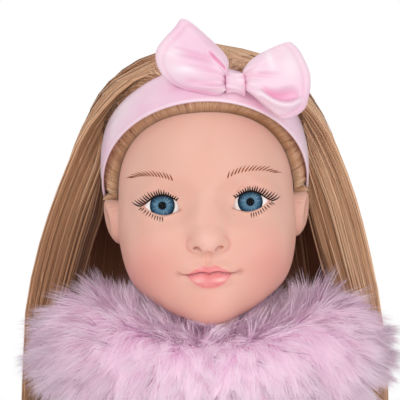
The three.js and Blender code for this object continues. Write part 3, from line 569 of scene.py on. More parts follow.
# The face's forms in the order in which they join the skull: the points they are placed by, how they
# join, their middle, their half-sizes and the softness of the seam
FACE_FORMS = {
    "cheeks": ("sides", run_together, (19, -29, -20), (13, 12.5, 12), 10),
    "jaw": ("sides", run_together, (19.6, -14, -27.8), (13, 20, 12.8), 8),
    "mouth": ("middle", run_together, (0, -27, -35), (21, 16, 15.5), 12),
    "chin": ("middle", run_together, (0, -35.5, -43.5), (9, 8, 7), 8),
    "sockets": ("sides", hollow_out, (EYE_SPREAD - 1, -46, 1), (13, 7, 8), 6),
    "nose_bridge": ("bridge", run_together, (0, -41.3, -8), (5.2, 5, 11.5), 8),
    "nose_tip": ("middle", run_together, (0, -44.2, -14.4), (6.2, 5.4, 4.4), 3.4),
    "nose_wings": ("sides", run_together, (5.8, -41.5, -16.8), (3.3, 4.6, 3.3), 1.4),
    "upper_lip": ("middle", run_together, (0, -42.6, -27), (9.6, 3.4, 2.6), 2.5),
    "lower_lip": ("middle", run_together, (0, -42.4, -32), (8.4, 3.6, 3), 2.5),
    "eyelids": ("sides", run_together, (EYE_SPREAD, EYE_DEEP, 0), (EYE_BALL + LID,) * 3, 3),
    "nostrils": ("sides", hollow_out, (4.6, -45.4, -18.2), (1.8, 2.6, 0.75), 1.0),
    "philtrum": ("middle", hollow_out, (0, -47, -22.6), (1.3, 2.6, 3), 1.6),
    "ears": ("ears", run_together, (40.2, 4, -7.5), (4.6, 7.6, 10.7), 2.5),
    "ear_bowls": ("ears", hollow_out, (46, 0, -7), (3.4, 4.4, 6.6), 2),
}
HALVINGS = 22


def face(points):
    sides = points.copy()
    sides[..., 0] = np.abs(sides[..., 0])
    bridge = points.copy()
    bridge[..., 1] -= NOSE_SLOPE * (bridge[..., 2] + 8)
    ears = sides.copy()
    ears[..., 0] -= EAR_LEAN * (ears[..., 2] + 7.5)
    placed = {"middle": points, "sides": sides, "bridge": bridge, "ears": ears}
    depth = skull(points)
    for place, join, middle, half, soft in FACE_FORMS.values():
        depth = join(depth, ellipsoid(placed[place], middle, half), soft)
    return depth


def surface_on(form, start, aims, out, far=90.0):
    """Where rays leave a form swollen by out."""
    near = np.zeros(aims.shape[:-1])
    far = np.full_like(near, far)
    for _ in range(HALVINGS):
        middle = (near + far) / 2
        inside = form(start + aims * middle[..., None]) < out
        near = np.where(inside, middle, near)
        far = np.where(inside, far, middle)
    return start + aims * near[..., None]


def aim_at(azimuth, elevation):
    """Azimuth 0 is straight ahead and grows towards the doll's left."""
    level = np.cos(elevation)
    parts = (level * np.sin(azimuth), -level * np.cos(azimuth), np.sin(elevation))
    return np.stack(np.broadcast_arrays(*parts), -1)


# Eye opening by distance outward from the eye's middle: upper and lower lid
LID_PLACES = (-7.4, -6.5, -4.4, 0, 4.6, 6.9, 8.05)
upper_lid = smooth_curve(LID_PLACES, (-2.3, 0.3, 2.8, 4.6, 3.1, 1.1, -0.1))
lower_lid = smooth_curve(LID_PLACES, (-2.3, -2.6, -3.35, -4.2, -2.6, -1.0, -0.1))

# Mouth by distance from its middle: top of the upper lip, line between the lips, foot of the lower lip
LIP_PLACES = (0, 2.6, 5, 7.5, 9.6, 11)
lip_top = smooth_curve(LIP_PLACES, (-26.3, -25.8, -26.6, -28.1, -29.4, -29.9))
lip_line = smooth_curve((0, 3.2, 6.5, 9.4, 13.4), (-29.4, -28.8, -29.4, -29.9, -29.5))
lip_bottom = smooth_curve(LIP_PLACES, (-35.8, -35.5, -34.5, -32.6, -30.5, -29.9))


EYE_OPEN_FROM = -7.8
EYE_OPEN_TO = 8.5
EYE_OPEN_DEEP = 6
MOUTH_CORNER = (13.2, -29.5)
WING_MIDDLE = (5.8, -16.9)


def patch(x, z, middle, half):
    """A soft round patch, 1 in its middle."""
    return np.exp(-(((x - middle[0]) / half[0]) ** 2) - ((z - middle[1]) / half[1]) ** 2)


def finish_face(points, aims):
    """Opens the eyes and draws the mouth, and says where lips, blush, lines, painted shade and painted
    highlights are painted.
    """
    x, y, z = points[..., 0], points[..., 1], points[..., 2]
    across = np.abs(x)
    ahead = y < 0

    # Eye openings, the creases of the lids and the creases round the wings of the nose
    outward = across - EYE_SPREAD
    above = z - upper_lid(outward)
    inside = np.minimum(-above, z - lower_lid(outward))
    inside = np.where((outward > EYE_OPEN_FROM) & (outward < EYE_OPEN_TO) & ahead, inside, -1)
    push = -EYE_OPEN_DEEP * smoothstep(-0.3, 0.15, inside)
    crease = bell(above, 2.7, 0.7) * smoothstep(-8, -4, outward) * smoothstep(10, 6, outward)
    push -= 0.35 * crease * ahead
    wing = np.hypot((across - WING_MIDDLE[0]) / 3.6, (z - WING_MIDDLE[1]) / 3.7)
    wing = bell(wing, 1, 0.13) * smoothstep(5, 7.5, across) * smoothstep(-12, -14.5, z) * ahead
    push -= 0.4 * wing

    # Mouth
    groove = bell(z, lip_line(across), 0.5) * smoothstep(13.6, 10.5, across) * ahead
    push -= 1.1 * groove
    under_top = lip_top(across) - z
    over_bottom = z - lip_bottom(across)
    lips = smoothstep(-0.25, 0.4, under_top) * smoothstep(-0.5, 1.1, over_bottom)
    lips = lips * smoothstep(11, 10.2, across) * ahead
    push += 0.35 * smoothstep(0, 1.6, np.minimum(under_top, over_bottom)) * lips
    corner = patch(across, z, MOUTH_CORNER, (1.5, 1.3)) * ahead
    push -= 0.9 * corner
    # A painted line between the lips, and painted shade in the mouth corners
    line = bell(z, lip_line(across), 0.36) * smoothstep(14.2, 9, across) * ahead + 0.3 * corner

    # Paint on the cheeks and the chin, painted shade in the lid creases, above the lid edges and round
    # the wings of the nose, and painted highlights on the lower lip and the nose
    cheek = patch(across, z, (26, -26.5), (13, 12)) * ahead
    # Painted shade in the lid crease and just above the lid edge
    socket = 0.4 * crease + 0.3 * bell(above, 0.6, 1.4) * (np.abs(outward) < 9)
    chin = 0.25 * patch(x, z, (0, -41), (9, 5)) * ahead
    blush = np.clip(0.52 * cheek + chin + 0.35 * socket * ahead + 0.32 * wing, 0, 1)
    # Painted highlights: a spot each side on the lower lip and one on the nose tip
    gleam = patch(across, z, (4.6, -31.8), (2.6, 0.8)) * ahead
    gleam += 0.6 * patch(x, z, (0, -14.5), (4.6, 4.6)) * ahead
    return points + aims * push[..., None], lips, blush, 0.85 * line, gleam


# Degrees round and up the head, with the steps between them: finest on the face
HEAD_TURNS = ([-180, -104, -76, -36, 36, 76, 104, 180], [22, 26, 26, 190, 26, 26, 22])
HEAD_RISES = ([-86, -58, -38, -11, 6, 46, 86], [9, 34, 62, 52, 34, 12])


def make_head(paint):
    azimuth = np.radians(spread(*HEAD_TURNS))[:-1]
    elevation = np.radians(spread(*HEAD_RISES))
    aims = aim_at(azimuth[None, :], elevation[:, None])
    rings = surface_on(face, HEAD_MIDDLE, aims, 0)
    rings, lips, blush, line, gleam = finish_face(rings, aims)
    points, faces = closed_rings(rings)
    extra = lambda values: np.concatenate([values.ravel(), [0, 0]])
    head = make_piece(
        "head_skin", from_head(points), faces, paint, "vinyl", "head",
        lips=extra(lips), blush=extra(blush), line=extra(line), gleam=extra(gleam),
    )
    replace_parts(head, "head_shell")


INSIDE_HEAD_Y = -8.0
PAINT_LIFT = 0.12


def on_face(across, height, out):
    """Points on the face seen straight ahead, lifted by out."""
    start = np.stack([across, np.full_like(across, INSIDE_HEAD_Y), height], -1)
    aims = np.broadcast_to(np.array([0.0, -1.0, 0.0]), start.shape)
    return surface_on(face, start, aims, out, 60.0)


def paint_strokes(name, lines, widths, color):
    """Painted strokes on the face: lines of points seen from the front."""
    lines = np.asarray(lines)
    paths = on_face(lines[..., 0], lines[..., 1], PAINT_LIFT)
    points, faces = ribbon_mesh(paths, np.asarray(widths), np.array([0.0, -1.0, 0.0]))
    paint = plain_paint(name + "_paint", color, color, 0.6, 300, {"Specular IOR Level": 0.1})
    piece = make_piece(name, from_head(points), faces, paint, "vinyl", "head")
    piece.visible_shadow = False


def arc_stroke(root, degrees, bend, long, steps=7):
    """A stroke that starts at a root and turns by bend degrees on its way."""
    share = np.linspace(0, 1, steps)
    turn = np.radians(degrees + bend * share)
    run = np.stack([np.cos(turn), np.sin(turn)], -1) * long / (steps - 1)
    run[0] = 0
    return np.asarray(root) + np.cumsum(run, 0)


# Widths along a painted stroke
TAPER = np.array([0.55, 1, 1, 0.9, 0.7, 0.45, 0.12])
UPPER_LASHES = 19
LOWER_LASHES = 10
BROW_STROKES = 14

# Reach of lashes and lid line, outward from the eye's middle
UPPER_LASH_REACH = (-6.0, 9.3)
LOWER_LASH_REACH = (0.2, 8.8)
LID_LINE_REACH = (-6.4, 9.6)
lash_root = smooth_curve((-6.6, -3, 0, 4, 7, 9.6), (2.1, 4.2, 4.9, 3.8, 1.7, 0.1))
lash_lean = smooth_curve((0, 0.25, 0.5, 0.75, 1), (142, 104, 72, 42, 22))
brow_lean = smooth_curve((0, 0.25, 0.5, 0.75, 1), (72, 60, 47, 26, -6))

# Brows by distance from the middle of the face: heights above the eyes
RIGHT_BROW = ((13.9, 17.7, 22.6, 27.7, 34.2), (10.5, 11.8, 12.5, 12.5, 11.2))
LEFT_BROW = ((9.5, 12.8, 16.9, 21.9, 26.9, 32.6), (10.7, 12.1, 12.9, 13.1, 12.4, 10.2))


def make_lashes(side, sign):
    """Upper and lower lashes and the dark edge of the upper lid, which is also painted shade along the
    lid, mirrored by sign.
    """
    place = lambda line: np.stack([sign * (EYE_SPREAD + line[:, 0]), line[:, 1]], -1)
    upper, lower = [], []
    for share in np.linspace(0, 1, UPPER_LASHES):
        outward = mix(*UPPER_LASH_REACH, share)
        root = (outward, lash_root(outward) - 0.3)
        long = 1.5 + 2.9 * share**1.5 + rng.uniform(-0.3, 0.3)
        lean = lash_lean(share) + rng.uniform(-5, 5)
        upper.append(place(arc_stroke(root, lean - 16, 30, long)))
    for share in np.linspace(0, 1, LOWER_LASHES):
        outward = mix(*LOWER_LASH_REACH, share)
        root = (outward, lower_lid(np.minimum(outward, 8.0)) - 0.5)
        long = 2.2 + rng.uniform(-0.25, 0.25)
        lower.append(place(arc_stroke(root, -98 + 58 * share, 12, long)))
    # The dark line at the lash roots, which also stands in for the shade along the lid edge
    edge = np.linspace(*LID_LINE_REACH, 41)
    lid_line = place(np.stack([edge, lash_root(edge) - 0.35], -1))
    thick = 0.22 + 0.6 * np.sin(np.pi * np.linspace(0.04, 0.99, len(edge))) ** 0.6
    paint_strokes(f"{side}_upper_lashes", upper, [0.62 * TAPER] * len(upper), LASH)
    paint_strokes(f"{side}_lid_line", [lid_line], [thick], LID_LINE)
    paint_strokes(f"{side}_lower_lashes", lower, [0.46 * TAPER] * len(lower), LOWER_LASH)


def make_brow(side, sign, places, heights):
    """Slanted strokes along a brow, steep near the nose and flat at the tail."""
    line = smooth_curve(places, heights)
    strokes, widths = [], []
    for share in np.linspace(0, 1, BROW_STROKES):
        across = mix(places[0], places[-1] - 3.6, share)
        long = mix(3.2, 3.9, share) + rng.uniform(-0.3, 0.3)
        lean = brow_lean(share) + rng.uniform(-4, 4)
        stroke = arc_stroke((across, line(across)), lean + 6, -14, long)
        strokes.append(np.stack([sign * stroke[:, 0], stroke[:, 1]], -1))
        widths.append(TAPER * mix(0.56, 0.42, share))
    paint_strokes(f"{side}_brow", strokes, widths, BROW)


EYE_ROWS = 60
EYE_COLUMNS = 96
IRIS_ROWS = 26
IRIS_COLUMNS = 180
IRIS_FRONT = math.sqrt(EYE_BALL**2 - IRIS**2)
AHEAD = np.array([0, -1, 0])


def make_eyeball(side, sign, centre, paint):
    """The white of an eye, flat in front where the iris sits."""
    polar = np.linspace(0.02, np.pi - 0.02, EYE_ROWS)[:, None]
    turn = np.linspace(0, 2 * np.pi, EYE_COLUMNS, endpoint=False)
    parts = (np.sin(polar) * np.cos(turn), -np.cos(polar), np.sin(polar) * np.sin(turn))
    around = np.stack(np.broadcast_arrays(*parts), -1)
    around[..., 1] = np.maximum(around[..., 1], -(IRIS_FRONT - 0.1) / EYE_BALL)
    around[..., 0] *= np.where(sign * around[..., 0] < 0, EYE_INWARD, EYE_OUTWARD)
    ball = centre + EYE_BALL * around
    points, faces = closed_rings(ball)
    white = make_piece(
        f"{side}_eyeball", from_head(points), faces, paint, "eye_white", "head",
        shade=np.concatenate([smoothstep(2.5, 6.0, ball[..., 2]).ravel(), [0, 0]]),
    )
    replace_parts(white, f"{side}_eye_white")


def make_iris(side, centre, paint, dome_paint):
    """A shallow bowl just ahead of the white, and a clear dome over it."""
    ring = np.linspace(0.01, 1, IRIS_ROWS)
    turn = np.linspace(0, 2 * np.pi, IRIS_COLUMNS, endpoint=False)
    around = turn / (2 * np.pi)
    faces = [grid(IRIS_ROWS, IRIS_COLUMNS, True), lid_on(np.arange(IRIS_COLUMNS))]

    def disc(radius, out):
        parts = (radius[:, None] * np.cos(turn), 0.0, radius[:, None] * np.sin(turn))
        return centre + np.stack(np.broadcast_arrays(*parts), -1) + AHEAD * out[:, None, None]

    spoke = smoothstep(0.0, 1.0, np.abs(ripple(6, 46)(around)))
    ray = smoothstep(0.1, 1.0, ripple(16, 30)(around))
    bowl = disc(ring * IRIS, IRIS_FRONT + 0.45 - 0.33 * ring**2)
    iris = make_piece(
        f"{side}_iris_disc", from_head(bowl), faces, paint, "iris", "head",
        ring=np.repeat(ring[:, None], IRIS_COLUMNS, 1),
        spoke=spoke[None, :] * smoothstep(0.36, 0.6, ring)[:, None],
        ray=0.55 * (ray[None, :] * bell(ring, 0.6, 0.17)[:, None]),
        shade=0.65 * smoothstep(1.2, 4.8, bowl[..., 2]),
    )
    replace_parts(iris, f"{side}_iris")
    dome = disc(ring * (IRIS + 0.15), IRIS_FRONT + 0.5 + 1.5 * (1 - ring**2))
    cornea = make_piece(f"{side}_clear_dome", from_head(dome), faces, dome_paint, "cornea", "head")
    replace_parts(cornea, f"{side}_cornea")


def make_eye(side, sign, paints):
    centre = np.array([sign * EYE_SPREAD, EYE_DEEP - EYE_FORWARD, 0])
    make_eyeball(side, sign, centre, paints["white"])
    make_iris(side, centre, paints["iris"], paints["clear"])


# Hair
hairline = smooth_curve(
    (0, 16, 30, 42, 54, 64, 72, 79, 84, 104, 116, 128, 180),
    (42, 41.4, 39.2, 35.4, 28.6, 20.4, 12, 3.8, 0, 0, -24, -42, -48),
)
BAND_ACROSS = np.array([0, math.sin(BAND_LEAN), math.cos(BAND_LEAN)])
BAND_AHEAD = np.array([0, -math.cos(BAND_LEAN), math.sin(BAND_LEAN)])
LEFTWARD = np.array([1, 0, 0])

# Hanging hair from the parting down: height above the eyes, half-width, back, front edge and axis
FALL = np.array([
    (66.4, 2, 22, -20, 1),
    (65.2, 15, 27, -18, 4),
    (61, 29, 37, -24, 6),
    (53.5, 39.5, 51, -20, 9),
    (44, 47.5, 60, -11, 13),
    (32, 54, 65, 0, 14),
    (18, 60, 67, 8, 14),
    (0, 67, 66, 11, 14),
    (-20, 73, 64, 12, 14),
    (-45, 78.5, 61.5, 15, 15),
    (-68, 81, 59, 24, 24),
    (-84, 82.5, 57, 35, 35),
    (-100, 83, 56, 39, 39),
    (-122, 83.5, 55, 40, 40),
    (-146, 83, 55, 40, 40),
])
FALL_THICK = 6.5
EDGE_THICK = 23
PLUMB_FROM = -70
HAIR_ASIDE = 3.2
HAIR_STILL_Z = -34
HAIR_TURNS_Z = 16
STRAND_STEPS = 24
UNDER_COLUMNS = 40

# Shares of the hanging hair: node, share of the way round and strands
FALLS = {
    "hair_left": ("left_hair_fall", 0.46, 1.0, 3600),
    "hair_back": ("back_hair_fall", -0.47, 0.47, 3800),
    "hair_right": ("right_hair_fall", -1.0, -0.46, 3600),
}


def fall_points(around, inward):
    """Stations of strands, at shares of the way round from front edge to front edge and at depths."""
    z, half, back, front, axis = FALL.T[:, None, :]
    reach = back - axis
    limit = np.arccos(np.clip((front - axis) / reach, -1, 1))
    turn = around[:, None] * limit
    inside = inward[:, None] * smoothstep(70, 36, z) * mix(0.45, 1, smoothstep(-76, -34, z))
    x = (half - inside) * np.sin(turn) - LEAN_X * np.minimum(z - PLUMB_FROM, 0)
    x = x - HAIR_ASIDE * smoothstep(30, -50, z)
    y = axis + (reach - np.minimum(inside, FALL_THICK)) * np.cos(turn)
    points = np.stack(np.broadcast_arrays(x, y, z), -1)
    room = np.where(z > 50, HAIR_TOP, BAND_OUT) + 0.5 + np.maximum(1.2 - 0.08 * inward[:, None], 0)
    for _ in range(5):
        short = np.maximum(room - skull(points), 0)
        points = points + unit(points - HEAD_MIDDLE) * short[..., None]
    return points


def fall_outward(points):
    core = np.stack(np.broadcast_arrays(0.0, 9.0, np.minimum(points[..., 2], 0)), -1)
    return unit(points - core)


def fall_underlay(low, high):
    """Rows of points for the dark layer under the strands, which stands in for the shade among them, and
    their painted-shade tint, darker low down.
    """
    depth = np.full(UNDER_COLUMNS, FALL_THICK)
    under = fall_points(np.linspace(low, high, UNDER_COLUMNS), depth)
    under = under - fall_outward(under) * 0.8
    under[:, -1] = mix(under[:, -2], under[:, -1], 0.8)
    return under, mix(0.2, 0.42, smoothstep(20, 50, under[..., 2])).ravel()


def fall_roots(low, high, count):
    """Random places of strands round the head and inward, with more of them at a front edge."""
    around = rng.uniform(low, high, count)
    if max(abs(low), abs(high)) == 1:
        at_edge = rng.uniform(size=count) < 0.5
        around = np.where(at_edge, np.sign(around) * rng.uniform(0.87, 1.0, count), around)
    thick = mix(FALL_THICK, EDGE_THICK, smoothstep(0.8, 0.94, np.abs(around)))
    return around, rng.beta(0.8, 1.3, count) * thick


def fall_paths(around, inward, swell):
    """Strands that hang in swelling locks, end unevenly and sway a little."""
    stations = fall_points(around, inward)
    swell = swell[:, None] * smoothstep(60, 10, FALL[:, 0])
    stations = stations + fall_outward(stations) * swell[..., None]
    length = len(FALL) - 1 - rng.uniform(0, 0.55, len(around)) ** 1.5
    paths = resample(stations, np.linspace(0, 1, STRAND_STEPS)[None, :] * length[:, None])
    sway = ripple(3, 3)(around * 9 + rng.uniform(0, 0.4, len(around)))[:, None]
    paths[..., 0] += 0.8 * sway * np.sin(np.linspace(0, 5, STRAND_STEPS))[None, :]
    return paths


def fall_tint(around, inward, paths, lock):
    """Tones along the strands: painted shade deep inside, and darker low on the doll's right."""
    tint = 0.7 + 0.08 * np.sign(around) + 0.18 * lock(around * 1.7 + inward * 0.05)
    tint = tint + rng.normal(0, 0.14, len(around))
    shade = smoothstep(9, 24, inward)[:, None] * smoothstep(34, 4, paths[..., 2])
    low_right = smoothstep(25, -25, paths[..., 2]) * (around < 0)[:, None]
    return np.clip(tint[:, None] - 0.5 * shade - 0.16 * low_right, 0, 1)


def make_fall(name, node, low, high, count, paint):
    """One share of the hanging hair: a dark underlay painted as the shade among the strands, and many
    strands in locks.
    """
    lock = ripple(len(name), 60)
    drift = ripple(len(name) + 3, 14)
    around, inward = fall_roots(low, high, count)
    paths = fall_paths(around, inward, 0.8 * lock(around) + 0.5 * drift(around) - 0.8)
    outward = fall_outward(paths) + 0.35 * rng.normal(size=(count, 1, 3))
    edge_on = smoothstep(0.8, 0.95, np.abs(around))[:, None, None]
    outward = outward + 1.4 * edge_on * AHEAD
    widths = rng.uniform(0.3, 0.56, (count, 1)) * np.linspace(1, 0.55, STRAND_STEPS)[None, :]
    widths[:, -1] *= 0.3
    points, faces = ribbon_mesh(paths, widths, outward)
    tint = fall_tint(around, inward, paths, lock)
    along = np.linspace(0, 1, STRAND_STEPS) ** 2 * 0.2
    under, dusk = fall_underlay(low, high)
    shading = np.repeat(unit(outward).reshape(-1, 3), 2, 0)
    shading = np.concatenate([shading, fall_outward(under).reshape(-1, 3)])
    under_faces = len(points) + grid(UNDER_COLUMNS, len(FALL))[:, ::-1]
    hair = make_piece(
        name, from_head(np.concatenate([points, under.reshape(-1, 3)])),
        np.concatenate([faces, under_faces]), paint, "hair", normals=shading @ HEAD_TURN.T,
        tint=np.concatenate([np.repeat(tint.ravel(), 2), dusk]),
        along=np.concatenate([np.tile(np.repeat(along, 2), count), np.zeros(len(dusk))]),
    )
    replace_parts(hair, node)
    low_end = from_head([0, 20, HAIR_STILL_Z]) * MM
    high_end = from_head([0, 20, HAIR_TURNS_Z]) * MM
    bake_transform(hair)


CAP_ROWS = 34
CAP_COLUMNS = 180
ROOT_STITCHES = 190
ROOT_REACH_DEG = 85
ROOT_ROWS = 4
ROOT_BUNCH = 9
FRONT_STEPS = 9
CROWN_STRANDS = 5200
CROWN_REACH = 2.1
CROWN_STEPS = 11


def make_cap(paint):
    """The combed cap under the band, tinted darker than the strands on it as painted shade under them.
    """
    azimuth = np.linspace(-np.pi, np.pi, CAP_COLUMNS, endpoint=False)
    line = np.radians(hairline(np.abs(np.degrees(azimuth))))
    share = np.linspace(0, 1, CAP_ROWS)[:, None] ** 1.5
    elevation = mix(line[None, :], math.radians(88), share)
    out = mix(0.05, HAIR_TOP - 1.4, smoothstep(0, 0.3, share))
    aims = aim_at(np.broadcast_to(azimuth, elevation.shape), elevation)
    cap = surface_on(over_head(out, 0.5), HEAD_MIDDLE, aims, 0)
    streak = ripple(11, 90)(azimuth / (2 * np.pi))
    # Darker than the strands: painted shade under them, with streaks
    tint = np.clip(0.34 + 0.16 * streak[None, :] * np.ones((CAP_ROWS, 1)), 0, 1)
    top = (CAP_ROWS - 1) * CAP_COLUMNS + np.arange(CAP_COLUMNS)
    return make_piece(
        "hair_scalp", from_head(cap), [grid(CAP_ROWS, CAP_COLUMNS, True), lid_on(top)],
        paint, "hair", "head", tint=tint, along=np.zeros_like(tint),
    )


def make_front_hair(paint):
    """Stitched roots along the hairline, each with a bunch of strands that sweep back."""
    stitch = np.linspace(-ROOT_REACH_DEG, ROOT_REACH_DEG, ROOT_STITCHES)
    spot = np.repeat(stitch, ROOT_BUNCH * ROOT_ROWS)
    row = np.tile(np.repeat(np.arange(ROOT_ROWS), ROOT_BUNCH), ROOT_STITCHES)
    count = len(spot)
    aside = np.abs(spot)
    azimuth = np.radians(spot + rng.normal(0, 0.16, count) + 0.4 * row)
    elevation = np.radians(hairline(aside) + 0.2 + 1.5 * row + rng.normal(0, 0.12, count))
    roots = surface_on(face, HEAD_MIDDLE, aim_at(azimuth, elevation), 0.3)
    level = smoothstep(48, 82, aside)[:, None]
    way = mix(BAND_ACROSS, np.array([0, 1, 0.12]), level)
    slant = 0.1 + 0.9 * smoothstep(3, 22, aside) * smoothstep(72, 50, aside)
    way = way + slant[:, None] * np.sign(azimuth)[:, None] * np.array([[0.85, 0, -0.5]])
    long = mix(15, 24, smoothstep(30, 75, aside)) * mix(1, 0.36, smoothstep(78, 96, aside))
    long = long * rng.uniform(0.9, 1.1, count)
    high = mix(HAIR_TOP - 0.7, BAND_IN + 0.2, smoothstep(55, 75, aside))
    high = mix(high, 1.9, smoothstep(78, 90, aside))
    paths = comb_over(roots, way, long, 1.5, high, FRONT_STEPS)
    bunch_tint = np.repeat(rng.normal(0, 0.12, ROOT_STITCHES * ROOT_ROWS), ROOT_BUNCH)
    tint = np.clip(0.9 + bunch_tint + rng.normal(0, 0.14, count), 0, 1)
    from_root = np.concatenate([[0.2, 0.8, 1.0], np.ones(FRONT_STEPS - 3)])
    return make_combed("hair_front", paths, from_root[None, :] * tint[:, None], paint)


def band_aims(turn):
    """Directions round the band from its middle, by angles from straight ahead."""
    return np.sin(turn)[:, None] * LEFTWARD + np.cos(turn)[:, None] * BAND_AHEAD


def make_crown_hair(paint):
    """Strands that come out from under the band's rear edge and sweep aside."""
    turn = rng.uniform(-CROWN_REACH, CROWN_REACH, CROWN_STRANDS)
    edge = BAND_MIDDLE + BAND_ACROSS * (BAND_WIDE / 2 - 4)
    roots = surface_on(skull, edge, band_aims(turn), HAIR_TOP - 0.9)
    aside = np.cos(turn)[:, None] * LEFTWARD - np.sin(turn)[:, None] * BAND_AHEAD
    sweep = np.clip(turn / 0.5, -1, 1)[:, None] * rng.uniform(0.5, 1.5, (CROWN_STRANDS, 1))
    way = BAND_ACROSS * rng.uniform(0.35, 0.7, (CROWN_STRANDS, 1)) + aside * sweep
    long = rng.uniform(22, 34, CROWN_STRANDS)
    paths = comb_over(roots, way, long, HAIR_TOP - 0.6, HAIR_TOP + 2.2, CROWN_STEPS, tucked)
    streak = 0.7 + 0.2 * ripple(17, 70)(turn / 4)
    tint = np.clip(streak + rng.normal(0, 0.12, CROWN_STRANDS), 0, 1)
    return make_combed("hair_crown", paths, tint[:, None] * np.ones((1, CROWN_STEPS)), paint)


def make_scalp(paint):
    for make in (make_cap, make_front_hair, make_crown_hair):
        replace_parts(make(paint), "hair_cap")


def over_head(lift, face_lift):
    """The head swollen by a lift, but by less on the face."""
    return lambda points: np.minimum(skull(points) - lift, face(points) - np.minimum(lift, face_lift))


def rising(share):
    return smoothstep(0, 0.5, share)


def tucked(share):
    return smoothstep(0, 0.4, share) * (1 - 1.3 * smoothstep(0.6, 1, share))


def comb_over(here, way, long, low, high, steps, swell=rising):
    """Strands that run over the head along a way, lifting from low to high."""
    count = len(here)
    paths = [here]
    for step in range(1, steps):
        outward = unit(here - HEAD_MIDDLE)
        along = way + 0.05 * rng.normal(size=(count, 3))
        along = unit(along - outward * (along * outward).sum(-1, keepdims=True))
        ahead = unit(here + along * (long / (steps - 1))[:, None] - HEAD_MIDDLE)
        lift = mix(low, high, swell(step / (steps - 1))) + 0.3 * rng.normal(size=count)
        here = surface_on(over_head(lift, 0.9), HEAD_MIDDLE, ahead, 0)
        paths.append(here)
    return np.stack(paths, 1)


def make_combed(name, paths, tint, paint):
    count, steps = paths.shape[:2]
    widths = np.linspace(0.5, 0.42, steps)[None, :] * rng.uniform(0.7, 1.2, (count, 1))
    points, faces = ribbon_mesh(paths, widths, unit(paths - HEAD_MIDDLE))
    return make_piece(
        name, from_head(points), faces, paint, "hair", "head",
        tint=np.repeat(tint.ravel(), 2), along=np.zeros(len(points)),
    )


# Satin
BAND_ROWS = 15
BAND_COLUMNS = 220


def make_headband(paint):
    turn = np.linspace(0, 2 * np.pi, BAND_COLUMNS, endpoint=False)
    aims = band_aims(turn)
    across = np.linspace(-1, 1, BAND_ROWS)
    hem = bell(np.abs(across), 0.93, 0.05)
    dip = bell(np.abs(across), 0.82, 0.035)
    crown = 0.35 * (1 - across**4) + 0.3 * hem - 0.25 * dip
    pleat = ripple(21, 7)
    outer, inner = [], []
    for share, rise in zip(across, crown):
        start = BAND_MIDDLE + BAND_ACROSS * share * BAND_WIDE / 2
        out = BAND_OUT - 0.35 + rise + 0.12 * pleat(turn / 6 + share * 0.3)
        outer.append(surface_on(skull, start, aims, out))
        inner.append(surface_on(skull, start, aims, BAND_IN + 0.1))
    points, faces = shell(np.stack(outer), np.stack(inner))
    plain = np.zeros(BAND_ROWS)
    round_band = lambda rows: np.repeat(np.concatenate([rows, plain]), BAND_COLUMNS)
    band = make_piece(
        "satin_headband", from_head(points), faces, paint, "satin", "head",
        # Painted shade in the dip near each edge, and a painted highlight along the lower edge
        fold=round_band(0.25 * dip), hem=round_band(0.9 * bell(across, -0.96, 0.06)),
    )
    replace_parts(band, "headband")
    middle = outer[BAND_ROWS // 2]
    length = np.linalg.norm(np.diff(middle, axis=0, append=middle[:1]), axis=1).sum()


BOW_X = 14.5
BOW_Z = 50.7
BOW_THICK = 11

# Outlines of the bow's loops from the front, from the lower side of the gather round to its upper side
RIGHT_LOOP = [
    (10.3, 48.2), (7.2, 45.8), (-1.0, 47.3), (-9.5, 49.9), (-16.6, 55.8), (-18.5, 65.5),
    (-10.4, 75.0), (-5.1, 78.4), (7.8, 66.5), (12.0, 60.0), (11.0, 54.2),
]
LEFT_LOOP = [
    (18.3, 48.5), (22.2, 44.6), (26.9, 40.0), (34.3, 34.3), (42.7, 37.6), (45.6, 44.3), (46.3, 52.9),
    (43.3, 61.2), (40.2, 65.6), (36.4, 66.9), (24.4, 62.0), (18.3, 56.5), (18.4, 53.3),
]
RIGHT_GATHER = (11.0, 51.4)
LEFT_GATHER = (18.0, 51.6)
LOOP_ROWS = 40
LOOP_COLUMNS = 120
KNOT_ROWS = 26
KNOT_COLUMNS = 40
KNOT_THICK = 5.2
pocket_low = smooth_curve((25.2, 30, 34, 38, 41.8), (47.2, 43.7, 42.0, 41.9, 43.6))
pocket_high = smooth_curve((25.2, 32, 38, 41.8), (47.2, 45.6, 46.4, 45.4))


def bow_y():
    start = np.array([[BOW_X, 0.0, BOW_Z]])
    front = surface_on(skull, start, np.array([[0.0, -1.0, 0.0]]), BAND_OUT)
    return front[0, 1] - BOW_THICK / 2 - 0.3


def lift_off_head(points):
    """Moves points forward until they clear the band on the head."""
    for _ in range(8):
        short = np.maximum(BAND_OUT + 0.5 - skull(points), 0)
        points = points + AHEAD * short[..., None]
    return points


def left_fold(x, z):
    """Depth, painted shade and painted highlight of the left loop's open pocket and the fold over it."""
    inside = smoothstep(-0.2, 0.7, z - pocket_low(x)) * smoothstep(3.0, -2.2, z - pocket_high(x))
    inside = inside * smoothstep(24, 27, x) * smoothstep(43, 38, x)
    lip = bell(z, pocket_low(x) - 1.5, 1.5) * smoothstep(21, 25, x) * smoothstep(45, 41, x)
    over = bell(z, 54.4 - 0.1 * (x - 20), 1.2) * smoothstep(18, 21, x) * smoothstep(36, 26, x)
    shine = bell(x, 29.5 - 0.25 * (z - 60), 1.6) * bell(z, 60, 4.5)
    shine = shine + 0.6 * bell(x, 38.5, 3) * bell(z, 57, 4)
    tone = 0.8 * inside * smoothstep(44, 27, x) + 0.14 * over
    return 3.4 * inside - 1.5 * lip + 0.9 * over, tone, 0.8 * shine + 0.5 * lip


